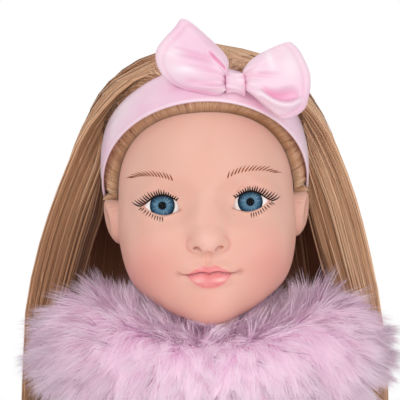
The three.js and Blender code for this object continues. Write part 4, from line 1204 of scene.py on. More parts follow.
def right_fold(x, z):
    """Depth, painted shade and painted highlight of the right loop's crease at the gather and the folds
    across it.
    """
    crease = bell(z, 62.0 - 1.1 * (x - 6), 0.9) * smoothstep(3, 5.5, x) * smoothstep(12, 9.5, x)
    valley = bell(z, 62.5 - 0.3 * x, 1.3) * smoothstep(-16, -8, x) * smoothstep(8, 2, x)
    middle = bell(z, 57.5 - 0.16 * x, 0.9) * smoothstep(-9, -3, x) * smoothstep(10, 4, x)
    lower = bell(z, 51.5 - 0.12 * x, 1.3) * smoothstep(-9, -3, x) * smoothstep(10, 4, x)
    shine = bell(x, -7, 5.5) * bell(z, 56.6 - 0.1 * x, 2.0)
    shine = shine + 0.8 * bell(x, -10.5, 3.5) * bell(z, 64.6, 1.3)
    depth = 2.0 * crease + 1.1 * valley + 0.7 * middle + 0.8 * lower
    return depth, 0.55 * crease + 0.16 * valley + 0.12 * middle + 0.24 * lower, 0.85 * shine


def make_loop(name, node, outline, gather, fold_of, paint):
    """A gathered ribbon loop: lines fan out from the gather, and front and back meet at the rim."""
    stations = np.linspace(0, len(outline) - 1, LOOP_COLUMNS)
    edge = resample(np.array([outline], float), stations[None])[0]
    share = np.linspace(0, 1, LOOP_COLUMNS)
    heart = np.array(gather) + np.stack([np.zeros(LOOP_COLUMNS), mix(-3.6, 3.6, share)], -1)
    out = np.linspace(0.0, 1, LOOP_ROWS)[:, None] ** 0.85
    spot = heart[None] + (edge - heart)[None] * out[..., None]
    pleat = np.cos(share * np.pi * 7 + 0.6)[None] * (1 - out) ** 1.4
    soft = ripple(len(name), 4)(share)[None] * np.sin(np.pi * out)
    fade = np.minimum(1, np.minimum(share, 1 - share) * 9)[None]
    puff = (np.sin(np.pi * np.clip(out, 0, 1) ** 0.75) ** 0.7 + 0.25 * (1 - out)) * fade
    hem = bell(out, 0.9, 0.025) * np.ones((1, LOOP_COLUMNS))
    depth, fold, shine = fold_of(spot[..., 0], spot[..., 1])
    middle = bow_y() + 2.5 * out
    front = middle - (0.9 + 4.6 * puff) - 0.9 * pleat - 0.7 * soft * fade + depth + 0.3 * hem
    back = middle + (0.9 + 3.2 * puff)
    layers = [np.stack([spot[..., 0], y, spot[..., 1]], -1) for y in (front, back)]
    points, faces = two_walls(*lift_off_head(np.stack(layers)))
    # Painted shade from the folds, the pleats near the gather and the ridge along the rim
    tone = np.clip(fold + 0.35 * np.clip(pleat, 0, 1) * (1 - out) + 0.18 * hem, 0, 1)
    loop = make_piece(
        name, from_head(points), faces, paint, "satin", "head",
        # The back layer is painted a little into shade
        fold=np.concatenate([tone.ravel(), np.full(tone.size, 0.3)]),
        # The shine patches are painted highlights
        hem=np.concatenate([shine.ravel(), np.zeros(shine.size)]),
    )
    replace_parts(loop, node)


def make_knot(paint):
    turn = np.linspace(0, 2 * np.pi, KNOT_COLUMNS, endpoint=False)[None]
    share = np.linspace(-1, 1, KNOT_ROWS)[:, None]
    waist = 1 - 0.22 * np.cos(share * np.pi / 2)
    pleat = 1 + 0.05 * np.cos(turn * 9 + share * 1.5)
    thick = KNOT_THICK * (waist * pleat)
    x = BOW_X + share * 4.0
    y = bow_y() - thick * np.cos(turn)
    z = BOW_Z + thick * np.sin(turn) - 0.9 * share
    points = lift_off_head(np.stack(np.broadcast_arrays(x, y, z), -1))
    ring = np.arange(KNOT_COLUMNS)
    ends = [lid_on(ring), lid_on((KNOT_ROWS - 1) * KNOT_COLUMNS + ring)]
    knot = make_piece(
        "bow_knot_wrap", from_head(points), [grid(KNOT_ROWS, KNOT_COLUMNS, True), *ends],
        paint, "satin", "head",
        # Painted shade towards the ends of the wrap and in its pleats
        fold=np.clip(0.5 * np.abs(share) ** 3 + 0.12 * np.cos(turn * 9), 0, 1),
    )
    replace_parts(knot, "bow_knot")


def make_bow(paint):
    make_loop("bow_loop_right", "bow_right_loop", RIGHT_LOOP, RIGHT_GATHER, right_fold, paint)
    make_loop("bow_loop_left", "bow_left_loop", LEFT_LOOP, LEFT_GATHER, left_fold, paint)
    make_knot(paint)


# Fur
PILE_STEPS = 4
PILE_WIDTHS = np.array([0.8, 1.0, 0.75, 0.08])
# Tints along a fibre from root to tip: darker at the root as painted shade deep in the pile
PILE_TINTS = np.array([0.25, 0.75, 1.0, 1.0])
PILE_ALONG = np.array([0.0, 0.25, 0.6, 0.85])
FIBRES_IN_LOCK = 34
NEAR_BATCH = 4000
# The pelt's tint, dark: painted shade under the pile
PELT_TINT = 0.1


def scatter(points, faces, count, keep):
    """Random places on a surface with their outward directions, where keep allows."""
    a, b, c, d = (points[faces[:, k]] for k in range(4))
    triangles = np.concatenate([np.stack([a, b, c], 1), np.stack([a, c, d], 1)])
    cross = np.cross(triangles[:, 1] - triangles[:, 0], triangles[:, 2] - triangles[:, 0])
    area = np.linalg.norm(cross, axis=1) * keep(triangles.mean(1), unit(cross))
    chosen = rng.choice(len(area), count, p=area / area.sum())
    u, v = rng.uniform(size=(2, count))
    flip = u + v > 1
    u, v = np.where(flip, 1 - u, u), np.where(flip, 1 - v, v)
    a, b, c = (triangles[chosen][:, k] for k in range(3))
    return a + (b - a) * u[:, None] + (c - a) * v[:, None], unit(cross[chosen])


def pile_paths(roots, outward, comb, long):
    """Fibres that lean along the comb and gather into pointed locks."""
    count = len(roots)
    locks = max(count // FIBRES_IN_LOCK, 8)
    seeds = rng.choice(count, locks, replace=False)
    nearest = np.empty(count, int)
    for start in range(0, count, NEAR_BATCH):
        batch = slice(start, start + NEAR_BATCH)
        gap = np.linalg.norm(roots[batch, None] - roots[seeds][None], axis=-1)
        nearest[batch] = gap.argmin(1)
    lock_way = unit(comb[seeds] + 0.32 * rng.normal(size=(locks, 3)))
    lock_long = rng.uniform(0.75, 1.2, locks)
    way = unit(0.2 * outward + lock_way[nearest] + 0.16 * rng.normal(size=(count, 3)))
    reach = long * lock_long[nearest] * rng.uniform(0.7, 1.12, count)
    t = np.linspace(0, 1, PILE_STEPS)[None, :, None]
    rise = outward[:, None] * (0.36 * t - 0.2 * t**2)
    lean = way[:, None] * (0.4 * t + 0.5 * t**2)
    drop = np.array([0, 0, -0.16]) * t**2
    curl = np.cross(way, outward)[:, None] * rng.normal(0, 0.1, (count, 1, 1)) * np.sin(np.pi * t)
    paths = roots[:, None] + (rise + lean + drop + curl) * reach[:, None, None]
    pull = 0.62 * t**1.3 * rng.uniform(0.4, 1.0, (count, 1, 1))
    return paths + (paths[seeds][nearest] - paths) * pull


def make_pile(name, node, base, faces, count, grow, paint):
    """Pile on a pelt. Grow holds the ways to place, comb, measure and settle it."""
    keep, comb_of, long_of, settle = grow
    quads = facing_out(base, [faces])[0]
    roots, outward = scatter(base, quads, count, keep)
    comb = comb_of(roots, outward)
    paths = settle(pile_paths(roots, outward, comb, long_of(roots)))
    widths = rng.uniform(0.2, 0.38, (count, 1)) * PILE_WIDTHS[None]
    facing = outward + 0.7 * comb * np.array([1, 1, 0]) + 0.3 * rng.normal(size=(count, 3))
    facing = unit(facing)[:, None] * np.ones((1, PILE_STEPS, 1))
    points, strips = ribbon_mesh(paths, widths, facing)
    tint = np.clip(0.5 + rng.normal(0, 0.24, count), 0, 1)
    pile = make_piece(
        name, from_body(points), strips, paint, "fur", "torso",
        normals=np.repeat(facing.reshape(-1, 3), 2, 0),
        tint=np.repeat((tint[:, None] * PILE_TINTS[None]).ravel(), 2),
        along=np.tile(np.repeat(PILE_ALONG, 2), count),
    )
    pile.visible_shadow = False
    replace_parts(pile, node)
    return pile


def make_pelt(name, node, base, faces, paint):
    """The backing that carries the pile, tinted dark as painted shade under it."""
    pelt = make_piece(
        name, from_body(base), faces, paint, "fur", "torso",
        tint=np.full(len(base), PELT_TINT), along=np.zeros(len(base)),
    )
    pelt.visible_shadow = False
    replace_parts(pelt, node)
    return pelt


# Body form by height: half-width and half-depth
HIP_Z = 205
SHOULDER_Z = 301
NECK_Z = 324
SHOULDER_SPREAD = 57
HIP_SPREAD = 29
BODY_MIDDLE_Y = 1.5
SQUARENESS = 2.3
GILET_IN = 1.8
PELT = 3.2
FUR_FRONT = 7.5
ARMHOLE = 19.5
TORSO = np.array([
    (187, 9, 9), (191, 26, 17), (197, 37, 23), (206, 43.5, 27), (214, 45, 28), (226, 43, 27.5),
    (240, 38, 25.5), (252, 36, 24.5), (265, 37.2, 25), (280, 39.6, 26.5), (292, 40.4, 27),
    (302, 40.6, 26), (311, 38.5, 23.5), (318, 33, 21), (324, 24.5, 18.5), (329, 17.5, 17),
])
torso_x = smooth_curve(TORSO[:, 0], TORSO[:, 1])
torso_y = smooth_curve(TORSO[:, 0], TORSO[:, 2])


def torso_ring(z, turn, out_x, out_y):
    """Points round the body at heights z, at angles from the doll's left."""
    x = (torso_x(z) + out_x) * squared_off(np.cos(turn), SQUARENESS)
    y = BODY_MIDDLE_Y + (torso_y(z) + out_y) * squared_off(np.sin(turn), SQUARENESS)
    return np.stack(np.broadcast_arrays(x, y, z), -1)


# Fur collar by degrees from straight ahead: lip radius, lip height and outer radius
COLLAR = (0, 30, 60, 80, 92, 105, 130, 180)
collar_lip = smooth_curve(COLLAR, (39, 40, 42, 44, 44, 43, 40, 38))
collar_high = smooth_curve(COLLAR, (331, 334, 341, 344.5, 345, 346, 347, 347))
collar_out = smooth_curve(COLLAR, (48, 54, 62, 66, 66, 57, 49, 44))
COLLAR_LOW = 319.5
PILE_FRONT = -60
PILE_BACK = 43
PILE_UNDER_CHIN = 341


# Shares of the collar's pile: degrees from straight ahead towards the doll's left, and fibres
COLLAR_SHARES = {
    "right": (180, 262, 12000),
    "front_right": (262, 360, 30000),
    "front_left": (0, 98, 30000),
    "left": (98, 180, 12000),
}

# Shares of the gilet: node, degrees from the doll's left towards its back, and fibres
GILET_SHARES = {
    "fur_gilet_back": ("gilet_back", 3, 177, 11000),
    "fur_gilet_left": ("gilet_left_front", -88.5, -3, 7000),
    "fur_gilet_right": ("gilet_right_front", -177, -91.5, 7000),
}
GILET_LOW = 241
GILET_HIGH = 324
FACE_BODY_Z = 390


def collar_surface():
    """Closed sections of the collar round the neck, from its foot over the bowl, lip and outside."""
    degrees = np.concatenate([np.linspace(-178.5, -0.3, 90), np.linspace(0.3, 178.5, 90)])
    degrees = np.sort(np.mod(degrees, 360))
    around = np.where(degrees > 180, 360 - degrees, degrees)
    lip, high, out = collar_lip(around), collar_high(around), collar_out(around)
    bowl = np.minimum(high, NECK_Z + 10.5)
    foot = np.hypot(
        (torso_x(COLLAR_LOW) + 7) * np.sin(np.radians(around)),
        (torso_y(COLLAR_LOW) + 11) * np.cos(np.radians(around)),
    )
    level = lambda value: np.full_like(lip, value)
    section = [
        (foot, level(COLLAR_LOW)),
        (mix(foot, 22, 0.5), level(326)),
        (level(22.5), level(330.5)),
        (lip * 0.75, mix(330, bowl, 0.6)),
        (lip, bowl),
        (lip + 1.5, high - 1),
        (mix(lip, out, 0.5), high),
        (mix(lip, out, 0.85), mix(COLLAR_LOW, high, 0.78)),
        (out - 0.5, mix(COLLAR_LOW, high, 0.5)),
        (out - 1, mix(COLLAR_LOW, high, 0.22)),
        (out - 3.2, level(COLLAR_LOW + 0.2)),
        (mix(foot, out, 0.5), level(COLLAR_LOW)),
    ]
    ahead = np.radians(degrees)
    rings = [np.stack([r * np.sin(ahead), BODY_MIDDLE_Y - r * np.cos(ahead), z], -1) for r, z in section]
    return np.stack(rings, 1)


def past_lip(roots):
    """How far roots lie outside the collar's lip."""
    radius = np.hypot(roots[:, 0], roots[:, 1] - BODY_MIDDLE_Y)
    around = np.degrees(np.arctan2(np.abs(roots[:, 0]), BODY_MIDDLE_Y - roots[:, 1]))
    return radius - collar_lip(around)


def collar_keep(low, high):
    """Where a share of the collar's pile grows."""
    def keep(places, _):
        turn = np.degrees(np.arctan2(places[:, 0], BODY_MIDDLE_Y - places[:, 1])) % 360
        grows = smoothstep(26, 36, np.hypot(places[:, 0], places[:, 1]))
        return grows * (places[:, 2] > COLLAR_LOW + 0.4) * (turn >= low) * (turn < high)

    return keep


def collar_comb(roots, _):
    """Up beside the face, forward under the chin, and outward and down past the lip."""
    radial = np.stack([roots[:, 0], roots[:, 1] - BODY_MIDDLE_Y, np.zeros(len(roots))], -1)
    ahead = smoothstep(-14, -38, roots[:, 1:2])
    over = smoothstep(-2, 9, past_lip(roots))[:, None]
    rise = mix(mix(1.0, 0.3, ahead), mix(-0.3, -0.75, ahead), over)
    away = mix(mix(0.3, 0.8, ahead), 0.85, over)
    return unit(away * unit(radial) + rise * np.array([[0, 0, 1]]))


def collar_long(roots):
    back = smoothstep(-5, 25, roots[:, 1])
    front = smoothstep(-30, -45, roots[:, 1])
    aside = smoothstep(46, 62, np.abs(roots[:, 0]))
    return mix(mix(mix(24, 18, front), mix(20, 16, roots[:, 0] > 0), aside), 11, back)


def collar_settle(paths):
    """Keeps the pile off the head and from standing out too far in front."""
    for _ in range(2):
        short = np.maximum(0.8 - face(body_to_head(paths)), 0)
        paths = paths + unit(paths - np.array([0, 0, FACE_BODY_Z])) * short[..., None]
    y = paths[..., 1]
    beyond = np.minimum(y - PILE_FRONT, 0) + np.maximum(y - PILE_BACK, 0)
    chin_room = PILE_UNDER_CHIN + 0.018 * paths[..., 0] ** 2
    above = np.maximum(paths[..., 2] - chin_room, 0) * (y < -15)
    return paths - np.stack([0 * above, 0.8 * beyond, 0.55 * above], -1)


def make_collar(paint):
    collar = collar_surface()
    base = collar.reshape(-1, 3)
    faces = grid(*collar.shape[:2], True)
    for name, (low, high, count) in COLLAR_SHARES.items():
        grow = (collar_keep(low, high), collar_comb, collar_long, collar_settle)
        make_pile(f"fur_collar_{name}", "gilet_collar", base, faces, count, grow, paint)
    pelt = make_pelt("fur_collar_pelt", "gilet_collar", *closed_rings(collar), paint)


def gilet_keep(places, outward):
    """Only the gilet's outside grows a pile."""
    radial = (places - np.array([0, BODY_MIDDLE_Y, 0])) * np.array([1, 1, 0])
    return smoothstep(0.0, 0.3, (unit(radial) * outward).sum(-1))


def gilet_comb(roots, outward):
    aside = 0.2 * np.sign(roots[:, :1]) * np.array([[1, 0, 0]])
    return unit(0.55 * outward + np.array([0, 0, -0.85]) + aside)


def gilet_long(roots):
    sides = smoothstep(30, 40, np.abs(roots[:, 0]))
    back = smoothstep(10, 25, roots[:, 1])
    return mix(mix(15, 10, back), 7, sides)


def make_gilet(paint):
    make_collar(paint)
    grow = (gilet_keep, gilet_comb, gilet_long, lambda paths: paths)
    heights = np.linspace(GILET_LOW, GILET_HIGH, 30)[:, None]
    for name, (node, low, high, count) in GILET_SHARES.items():
        turn = np.radians(np.linspace(low, high, 50))[None, :]
        outer = torso_ring(heights, turn, GILET_IN + PELT, GILET_IN + FUR_FRONT)
        inner = torso_ring(heights, turn, GILET_IN, GILET_IN)
        middle = (outer[1:, 1:] + outer[:-1, :-1]) / 2
        kept = np.hypot(middle[..., 1], middle[..., 2] - SHOULDER_Z) > ARMHOLE + 1.5
        base, quads = two_walls(outer, inner, kept)
        pile = make_pile(name, node, base, quads, count, grow, paint)
        pelt = make_pelt(name + "_pelt", node, base, quads, paint)
        wide = np.linalg.norm(np.diff(outer, axis=1), axis=-1).sum(1).max()
        tall = np.linalg.norm(np.diff(outer, axis=0), axis=-1).sum(0).max()


# Limbs by height: middle outward from the joint, middle front to back, half-width and half-depth
ARM = np.array([
    (169, 14.6, -18.4, 4.6, 8.8), (176, 14.4, -17, 5.6, 9.8), (188, 13.8, -14.5, 6, 8.6),
    (197, 13, -12.5, 6.2, 7), (215, 11.4, -8, 8.6, 9), (233, 9.6, -4, 10, 10.4),
    (247, 8, -1.5, 9.8, 10.4), (273, 4, 0, 11.4, 11.8), (289, 1.2, 0, 12.6, 12.8), (301, 0, 0, 14, 14),
])
LEG = np.array([
    (7, -3.4, -11, 12.4, 28.5), (13, -3.4, -11, 12.8, 28), (23, -3.4, -7, 11.8, 21),
    (32, -3.4, -2, 10.8, 14), (45, -3.4, 0, 10.6, 11.4), (71, -3.2, 1, 12.4, 13),
    (99, -2.8, 1.6, 15.4, 16.4), (119, -2.4, 0.4, 15.4, 16), (135, -2, 0, 16, 16.6),
    (163, -1.2, 0, 18.6, 19.4), (187, -0.4, 0, 20.6, 21), (205, 0, 0, 22, 22),
])
SHOULDER_BALL = 14
HIP_BALL = 22
CLOTH_IN = 0.4
CLOTH_OUT = 1.5
HAND_LOW = 169
KNUCKLE_Z = 173.0
FINGERS = 4
FINGER_PITCH = 4.3
FINGER_LONG = 15
FINGER_ENDS = (2.3, 1.6)
THUMB_ENDS = (2.9, 2.0)
CUFF_LOW = 199
CUFF_HIGH = 209
WAIST_Z = 234.3
TOP_HIGH = 325
GUSSET_WIDE = 9
SEAT_Z = 214.0
CROTCH_Z = 187.0
BOOT_LOW = 7
BOOT_BRIM = 76
BOOT_TOP = 82
BOOT_IN = 0.8
BOOT_OUT = 3.0
SOLE_THICK = 6.7
SOLE_HALF = (17, 33.1)
SOLE_SQUARENESS = 2.2
STITCH_STATIONS = 1200
STITCH_PITCH = 2.7
STITCH_LONG = 1.9
STITCH_WIDE = 0.55
STITCH_RISE = np.array([0, 0.2, 0.2, 0])
TURN = np.linspace(0, 2 * np.pi, 144, endpoint=False)[None, :]


class Limb:
    """An arm or leg as rings round a bent axis, with a ball at its joint."""

    def __init__(self, rows, sign, apart, joint_z, ball):
        self.sign, self.apart, self.joint_z, self.ball = sign, apart, joint_z, ball
        self.curves = [smooth_curve(rows[:, 0], rows[:, k]) for k in range(1, 5)]

    def middle(self, z):
        aside, ahead = (curve(np.minimum(z, self.joint_z)) for curve in self.curves[:2])
        return self.sign * (self.apart + aside), ahead

    def ring(self, z, out, turn=TURN):
        x, y = self.middle(z)
        wide, deep = (curve(np.minimum(z, self.joint_z)) for curve in self.curves[2:])
        up = np.maximum(z - self.joint_z, 0) / (self.ball + out)
        dome = np.sqrt(np.clip(1 - up**2, 0.0004, 1))
        x = x + (wide + out) * dome * np.cos(turn)
        y = y + (deep + out) * dome * np.sin(turn)
        return np.stack(np.broadcast_arrays(x, y, z), -1)


def arm_of(sign):
    return Limb(ARM, sign, SHOULDER_SPREAD, SHOULDER_Z, SHOULDER_BALL)


def leg_of(sign):
    return Limb(LEG, sign, HIP_SPREAD, HIP_Z, HIP_BALL)


# Folds in the clothes: seed, height, reach, count and depth
FOLDS = {
    "sleeve": ((30, 236, 22, 9, 1.0), (40, 214, 7, 5, 1.0)),
    "top": ((52, 250, 20, 12, 1.0),),
    "legging": ((60, 116, 22, 10, 1.0), (70, 90, 8, 6, 1.0), (80, 178, 14, 6, 0.6)),
    "boot": ((90, 40, 11, 10, 1.0),),
}


def creases(seed, z, middle, reach, count):
    """Slanting cloth folds round a limb near a height."""
    own = np.random.default_rng(seed)
    total = 0
    for _ in range(count):
        at = own.normal(middle, reach / 2)
        facing = own.uniform(0, 2 * np.pi)
        slant = own.uniform(-5, 5) * np.sin(TURN - facing)
        part = bell(z, at + slant, own.uniform(1.3, 2.6)) * smoothstep(-0.5, 0.7, np.cos(TURN - facing))
        total = total + own.uniform(0.4, 0.9) * part
    return total


def folds_in(cloth, z, sign=0):
    """All folds of a piece of clothing, with others on each side of the doll."""
    total = 0
    for seed, middle, reach, count, deep in FOLDS[cloth]:
        total = total + deep * creases(seed + sign, z, middle, reach, count)
    return total


def cloth_sheet(outer):
    """Works out the girth, length and area of a sewn tube's outer wall."""
    rim = np.linalg.norm(np.diff(outer, axis=1, append=outer[:, :1]), axis=-1)
    run = np.linalg.norm(np.diff(outer, axis=0), axis=-1)
    girth = rim.sum(1)
    length = run.sum(0).max()
    area = min((0.5 * (girth[1:] + girth[:-1]) * run.mean(1)).sum(), girth.max() * length)


def capsule(start, end, thick, thin):
    """A round-ended finger between two points."""
    along = unit(end - start)
    aside = unit(np.cross(along, np.array([0.3, 1.0, 0.2])))
    above = np.cross(along, aside)
    turn = np.linspace(0, 2 * np.pi, 16, endpoint=False)[:, None]
    around = np.cos(turn) * aside + np.sin(turn) * above
    rise = np.linspace(0, 1.45, 6)
    rings = []
    for middle, angles, radius in ((start, -rise[::-1], thick), (end, rise, thin)):
        for angle in angles:
            rings.append(middle + along * radius * math.sin(angle) + radius * math.cos(angle) * around)
    return closed_rings(np.stack(rings))


def make_arm(side, sign, paint):
    arm = arm_of(sign)
    ball = SHOULDER_Z + SHOULDER_BALL * np.sin(np.linspace(0.1, 1.5, 12))
    heights = np.concatenate([np.linspace(HAND_LOW, SHOULDER_Z, 90), ball])
    parts = [closed_rings(arm.ring(heights[:, None], 0.0, TURN[:, ::3]))]
    knuckle = np.array([*arm.middle(KNUCKLE_Z), KNUCKLE_Z])
    for finger in range(FINGERS):
        across = (finger - (FINGERS - 1) / 2) * FINGER_PITCH
        long = FINGER_LONG - 1.2 * abs(finger - 1.2)
        tip = knuckle + (-2.5 * sign, across * 1.12 - 3, -long)
        parts.append(capsule(knuckle + (0, across, 0), tip, *FINGER_ENDS))
    parts.append(capsule(knuckle + (0, -5, 11), knuckle + (-1.5 * sign, -14, 2), *THUMB_ENDS))
    points, faces = joined(parts)
    skin = make_piece(f"{side}_arm_skin", from_body(points), faces, paint, "vinyl", f"{side}_arm")
    fused(skin, 0.7, 5)
    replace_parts(skin, f"{side}_arm")
    return skin


def make_sleeve(side, sign, paint):
    arm = arm_of(sign)
    dome = SHOULDER_Z + (SHOULDER_BALL + CLOTH_OUT) * np.sin(np.linspace(0.06, 1.55, 16))
    z = np.concatenate([np.linspace(CUFF_LOW, SHOULDER_Z, 150), dome])[:, None]
    rib = 0.22 * np.cos(48 * TURN) * smoothstep(CUFF_HIGH + 0.6, CUFF_HIGH - 0.4, z)
    folds = folds_in("sleeve", z, sign) * smoothstep(CUFF_HIGH, CUFF_HIGH + 4, z)
    folds = folds * smoothstep(SHOULDER_Z - 4, SHOULDER_Z - 20, z)
    blouse = 0.7 * bell(z, CUFF_HIGH + 4, 4)
    out = CLOTH_OUT + rib + 0.7 * folds + blouse - 0.35 * bell(z, CUFF_HIGH, 0.5)
    inner_z = np.minimum(z, SHOULDER_Z + (SHOULDER_BALL + CLOTH_IN) * 0.999)
    outer = arm.ring(z, out)
    points, faces = shell(outer, arm.ring(inner_z, CLOTH_IN))
    sleeve = make_piece(
        f"{side}_sleeve_knit", from_body(points), faces, paint, "jersey", f"{side}_arm")
    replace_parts(sleeve, f"{side}_sleeve")
    cloth_sheet(outer)


def make_top(paint):
    z = np.linspace(WAIST_Z, TOP_HIGH, 120)[:, None]
    hem = smoothstep(WAIST_Z + 6.2, WAIST_Z + 5.6, z)
    folds = folds_in("top", z)
    out = CLOTH_OUT - 0.3 + 0.4 * hem + 0.45 * folds * (1 - hem) - 0.3 * bell(z, WAIST_Z + 6, 0.4)
    outer = torso_ring(z, TURN, out, out)
    points, faces = shell(outer, torso_ring(z, TURN, CLOTH_IN, CLOTH_IN))
    apart = np.abs(points[:, 0]) - SHOULDER_SPREAD
    far = np.sqrt(apart**2 + points[:, 1] ** 2 + (points[:, 2] - SHOULDER_Z) ** 2)
    faces = faces[(far[faces] > SHOULDER_BALL + CLOTH_OUT + 0.6).all(1)]
    top = make_piece("top_knit", from_body(points), faces, paint, "jersey", "torso")
    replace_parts(top, "top_body")
    cloth_sheet(outer)


def gusset():
    """The strip of cloth between the legs, from the front of the seat to its back."""
    down = np.linspace(206, CROTCH_Z + 0.5, 16)
    z = np.concatenate([down, np.full(9, CROTCH_Z), down[::-1]])
    side = np.concatenate([np.full(16, -1.0), np.linspace(-0.8, 0.8, 9), np.full(16, 1.0)])
    half = GUSSET_WIDE / 2
    corners = ((-half, CLOTH_IN), (half, CLOTH_IN), (half, CLOTH_OUT), (-half, CLOTH_OUT))
    rings = []
    for level, lean in zip(z, side):
        ring = []
        for x, out in corners:
            under = out * (1 - abs(lean)) / 0.4 if abs(lean) < 0.6 else out * (abs(lean) < 1)
            y = BODY_MIDDLE_Y + lean * (torso_y(level) + out)
            ring.append((x, y, level - min(under, out)))
        rings.append(ring)
    return closed_rings(np.array(rings))


def make_seat(paint):
    """The leggings' seat, from its solid, with the edges rounded off."""
    solid = frame["nodes"]["leggings_seat"].data
    corners = np.array([vertex.co for vertex in solid.vertices]) / MM
    walls = np.array([list(face.vertices) for face in solid.polygons])
    points, faces = joined([(corners - BODY, [walls]), gusset()])
    seat = make_piece("leggings_seat_knit", from_body(points), faces, paint, "legging", "torso")
    fused(seat, 0.55, 4)
    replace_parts(seat, "leggings_seat")
    wide = 2 * math.pi * 0.5 * (torso_x(SEAT_Z) + torso_y(SEAT_Z)) * MM


def make_legging(side, sign, paint):
    leg = leg_of(sign)
    dome = HIP_Z + (HIP_BALL + CLOTH_OUT) * np.sin(np.linspace(0.05, 1.1, 10))
    z = np.concatenate([np.linspace(BOOT_TOP + 0.3, HIP_Z, 170), dome])[:, None]
    folds = folds_in("legging", z, sign) * smoothstep(HIP_Z, HIP_Z - 14, z)
    folds = folds * smoothstep(BOOT_TOP + 0.3, BOOT_TOP + 3, z)
    seam = bell(np.cos(TURN) * sign, 1, 0.0016) * smoothstep(HIP_Z, HIP_Z - 10, z)
    outer = leg.ring(z, CLOTH_OUT - 0.2 + 0.6 * folds - 0.35 * seam)
    inner_z = np.minimum(z, HIP_Z + (HIP_BALL + CLOTH_IN) * 0.9)
    points, faces = shell(outer, leg.ring(inner_z, CLOTH_IN))
    legging = make_piece(
        f"{side}_legging_knit", from_body(points), faces, paint, "legging", f"{side}_leg")
    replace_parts(legging, f"{side}_legging")
    cloth_sheet(outer)


# The boot's leather: where the toe cap and the counter end, their seams, and the pad round the top
TOE_CAP_Y = -27
COUNTER_Y = 9
SEAM_WIDE = 0.55
PAD_Z = 78
PAD_HALF = 4.4

# Rows of stitches round a boot: height and how far they stand out from it
STITCH_ROWS = ((72.2, 0.12), (10.6, 0.25))

# Side of a sole from the ground up: height and how far it stands back
SOLE_PROFILE = (
    (0, -2.2), (0.25, -0.9), (0.9, -0.2), (1.8, 0), (3.0, 0), (3.3, -0.5), (3.7, -0.5), (4.0, 0),
    (5.9, 0), (6.5, -0.3), (SOLE_THICK, -1.1),
)


def make_upper(side, sign, leg, paint):
    """A boot's upper with toe cap, counter, back strip, folds and a padded top."""
    rim = BOOT_BRIM + (BOOT_TOP - BOOT_BRIM) * np.sin(np.linspace(0.1, np.pi / 2, 14))
    z = np.concatenate([np.linspace(BOOT_LOW, BOOT_BRIM, 130), rim])[:, None]
    plain = leg.ring(z, BOOT_OUT)
    x, y = plain[..., 0] - leg.middle(z)[0], plain[..., 1]
    toe_cap = bell(y, TOE_CAP_Y - 0.04 * x * x, SEAM_WIDE) * smoothstep(25, 22, z)
    counter = bell(y, COUNTER_Y - 0.14 * (z - BOOT_LOW), SEAM_WIDE) * smoothstep(36, 33, z)
    back_strip = smoothstep(3.6, 3.1, np.abs(x)) * smoothstep(2, 4, y) * smoothstep(77, 75, z)
    welt = 0.5 * smoothstep(9.4, 8.4, z)
    folds = folds_in("boot", z, sign)
    padding = np.sqrt(np.clip(1 - ((z - PAD_Z) / PAD_HALF) ** 2, 0, 1))
    padded_top = 0.9 * smoothstep(73.4, 74.4, z) * padding
    out = BOOT_OUT - 0.4 * (toe_cap + counter) + 0.35 * back_strip + welt + 0.5 * folds + padded_top
    out = out - 0.5 * bell(z, 73.6, 0.5) - 1.3 * smoothstep(80.4, BOOT_TOP, z)
    points, faces = shell(leg.ring(z, out), leg.ring(z, BOOT_IN))
    boot = make_piece(f"{side}_boot_upper", from_body(points), faces, paint, "boot", f"{side}_leg")
    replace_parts(boot, f"{side}_boot")


def stitch_row(limb, height, out):
    """Short raised threads that follow a line round a limb."""
    turn = np.linspace(0, 2 * np.pi, STITCH_STATIONS, endpoint=False)
    line = limb.ring(height, out, turn)
    way = np.linalg.norm(np.diff(line, axis=0), axis=1)
    reach = np.concatenate([[0], np.cumsum(way)])
    starts = np.arange(0, reach[-1] - 3, STITCH_PITCH)
    at = starts[:, None] + np.linspace(0, STITCH_LONG, 4)[None]
    paths = np.stack([np.interp(at, reach, line[:, k]) for k in range(3)], -1)
    outward = unit(paths - np.array([*limb.middle(height), height]))
    paths = paths + outward * STITCH_RISE[None, :, None]
    points, quads = ribbon_mesh(paths, np.full(at.shape, STITCH_WIDE), outward)
    return points, [quads]


def make_sole(side, leg, paint):
    """A sole with rounded edges and a groove round its side."""
    level, inset = np.array(SOLE_PROFILE).T[:, :, None]
    wide, long = SOLE_HALF
    x, y = leg.middle(BOOT_LOW)
    x = x + (wide + inset) * squared_off(np.cos(TURN), SOLE_SQUARENESS)
    y = y + (long + inset) * squared_off(np.sin(TURN), SOLE_SQUARENESS)
    points, faces = closed_rings(np.stack(np.broadcast_arrays(x, y, level), -1))
    sole = make_piece(f"{side}_boot_sole", from_body(points), faces, paint, "sole", f"{side}_leg")
    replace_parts(sole, f"{side}_sole")


def make_boot(side, sign, upper_paint, thread, rubber):
    leg = leg_of(sign)
    make_upper(side, sign, leg, upper_paint)
    points, faces = joined([stitch_row(leg, high, BOOT_OUT + out) for high, out in STITCH_ROWS])
    seams = make_piece(
        f"{side}_boot_stitches", from_body(points), faces, thread, "boot", f"{side}_leg")
    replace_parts(seams, f"{side}_boot")
    make_sole(side, leg, rubber)


def finish_solids(paints):
    """Gives the solids that stay in sight their materials."""
    for name, paint in paints.items():
        for slot in frame["nodes"][name].material_slots:
            slot.material = paint


# Camera and light
VIEW_CENTRE = from_head([-2.6, -37, 1.7])
VIEW_FAR = 1250
VIEW_UP_DEG = 3.0
LENS = 265
SENSOR = 36
CLIP_START = 0.05
FLOOR_HALF = 1000
WORLD_LIGHT = 0.6
WHITE = (1, 1, 1, 1)

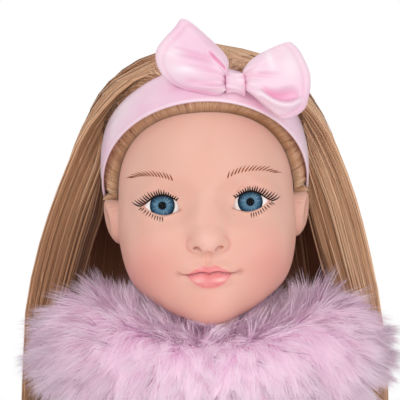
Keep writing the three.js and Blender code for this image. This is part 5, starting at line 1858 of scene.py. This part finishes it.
# Area lamps aimed at the head: place in metres, width and watts
LAMPS = {
    "key": ((-0.7, -1.3, 1.0), 0.9, 5.4),
    "fill": ((0.85, -1.45, 0.34), 1.1, 6.2),
    "low": ((0.1, -1.4, 0.12), 1.0, 1.7),
    "top": ((0.0, 0.35, 1.5), 0.9, 2),
}


def make_camera():
    lens = bpy.data.cameras.new("camera")
    lens.lens = LENS
    lens.sensor_width = SENSOR
    lens.clip_start = CLIP_START
    camera = bpy.data.objects.new("camera", lens)
    bpy.context.scene.collection.objects.link(camera)
    up = math.radians(VIEW_UP_DEG)
    place = VIEW_CENTRE + VIEW_FAR * np.array([0, -math.cos(up), math.sin(up)])
    camera.location = place * MM
    camera.rotation_euler = (math.pi / 2 - up, 0, 0)
    bpy.context.scene.camera = camera
    bpy.context.scene.view_settings.view_transform = "Standard"


def add_lamp(name, place, aim, wide, watts):
    light = bpy.data.lights.new(name, "AREA")
    light.shape = "SQUARE"
    light.size = wide
    light.energy = watts
    lamp = bpy.data.objects.new(name, light)
    bpy.context.scene.collection.objects.link(lamp)
    way = aim - np.array(place)
    far = np.linalg.norm(way)
    lamp.location = place
    lamp.rotation_euler = (math.acos(-way[2] / far), 0, math.atan2(way[1], way[0]) - math.pi / 2)


def make_lamps():
    head = from_head([0, 0, 0]) * MM
    for name, (place, wide, watts) in LAMPS.items():
        add_lamp(name, place, head, wide, watts)


def make_world():
    """A world that lights the doll softly but is white to the camera and in reflections."""
    world = bpy.data.worlds.new("studio")
    bpy.context.scene.world = world
    world.use_nodes = True
    nodes, links = world.node_tree.nodes, world.node_tree.links
    soft = nodes["Background"]
    white = nodes.new("ShaderNodeBackground")
    for light, strength in ((soft, WORLD_LIGHT), (white, 1.0)):
        light.inputs["Color"].default_value = WHITE
        light.inputs["Strength"].default_value = strength
    rays = nodes.new("ShaderNodeLightPath")
    both = nodes.new("ShaderNodeMixShader")
    shown = rays.outputs["Is Camera Ray"]
    for kind in ("Is Glossy Ray", "Is Transmission Ray"):
        either = nodes.new("ShaderNodeMath")
        either.operation = "MAXIMUM"
        links.new(shown, either.inputs[0])
        links.new(rays.outputs[kind], either.inputs[1])
        shown = either.outputs[0]
    links.new(shown, both.inputs[0])
    links.new(soft.outputs[0], both.inputs[1])
    links.new(white.outputs[0], both.inputs[2])
    links.new(both.outputs[0], nodes["World Output"].inputs["Surface"])


def make_floor():
    size = FLOOR_HALF
    corners = np.array([(-size, -size, 0), (size, -size, 0), (size, size, 0), (-size, size, 0)], float)
    mesh = bpy.data.meshes.new("floor")
    mesh.from_pydata((corners * MM).tolist(), [], [(0, 1, 2, 3)])
    mesh.materials.append(floor_paint())
    floor = bpy.data.objects.new("floor", mesh)
    bpy.context.scene.collection.objects.link(floor)


SIDES = {"left": 1, "right": -1}


def make_head_and_fur(vinyl):
    """What the photograph shows, from the face to the gilet."""
    eyes = {"white": eye_white_paint(), "iris": iris_paint(), "clear": clear_paint()}
    hair = strand_paint("hair_fibre", HAIR_TONES, 0.4)
    fur = strand_paint("fur_fibre", FUR_TONES, 0.8)
    satin = satin_paint()
    make_head(vinyl)
    for side, sign in SIDES.items():
        make_eye(side, sign, eyes)
        make_lashes(side, sign)
    make_brow("right", SIDES["right"], *RIGHT_BROW)
    make_brow("left", SIDES["left"], *LEFT_BROW)
    make_scalp(hair)
    for name, share in FALLS.items():
        make_fall(name, *share, hair)
    make_headband(satin)
    make_bow(satin)
    make_gilet(fur)


def make_body(vinyl):
    """Clothes, arms, boots and the solids that stay in sight."""
    jersey = knit_paint("top_jersey", *JERSEY)
    legging = knit_paint("legging_jersey", KNIT, KNIT_DEEP)
    soft = {"Sheen Weight": 0.5, "Sheen Roughness": 0.5}
    suede = plain_paint("boot_suede", *SUEDE, 0.85, 260, soft)
    thread = plain_paint("boot_thread", *THREAD, 0.7, 900)
    rubber = plain_paint("boot_rubber", *RUBBER, 0.6, 160)
    waist = from_body([0, 0, WAIST_Z + 3])[2]
    boot_rim = from_body([0, 0, BOOT_TOP + 4])[2]
    plastic = dressed_paint("body_plastic", PLASTIC, PLASTIC_WARM, "LESS_THAN", waist)
    leg_vinyl = dressed_paint("leg_vinyl", SKIN, SKIN_WARM, "GREATER_THAN", boot_rim)
    steel = plain_paint("screw_steel", *STEEL, 0.3, 400, {"Metallic": 1.0})
    elastic = knit_paint("elastic_cord", *ELASTIC, 900, 900)
    make_top(jersey)
    make_seat(legging)
    for side, sign in SIDES.items():
        skin = make_arm(side, sign, vinyl)
        make_sleeve(side, sign, jersey)
        make_legging(side, sign, legging)
        make_boot(side, sign, suede, thread, rubber)
    finish_solids({
        "torso_front_shell": plastic, "torso_back_shell": plastic, "neck_plug": plastic,
        "left_leg": leg_vinyl, "right_leg": leg_vinyl,
        "arm_elastic": elastic, "leg_elastic": elastic,
        **{f"torso_screw_{i}": steel for i in range(1, 5)},
    })


make_camera()
make_lamps()
make_world()
make_floor()
doll_vinyl = vinyl_paint()
make_head_and_fur(doll_vinyl)
make_body(doll_vinyl)
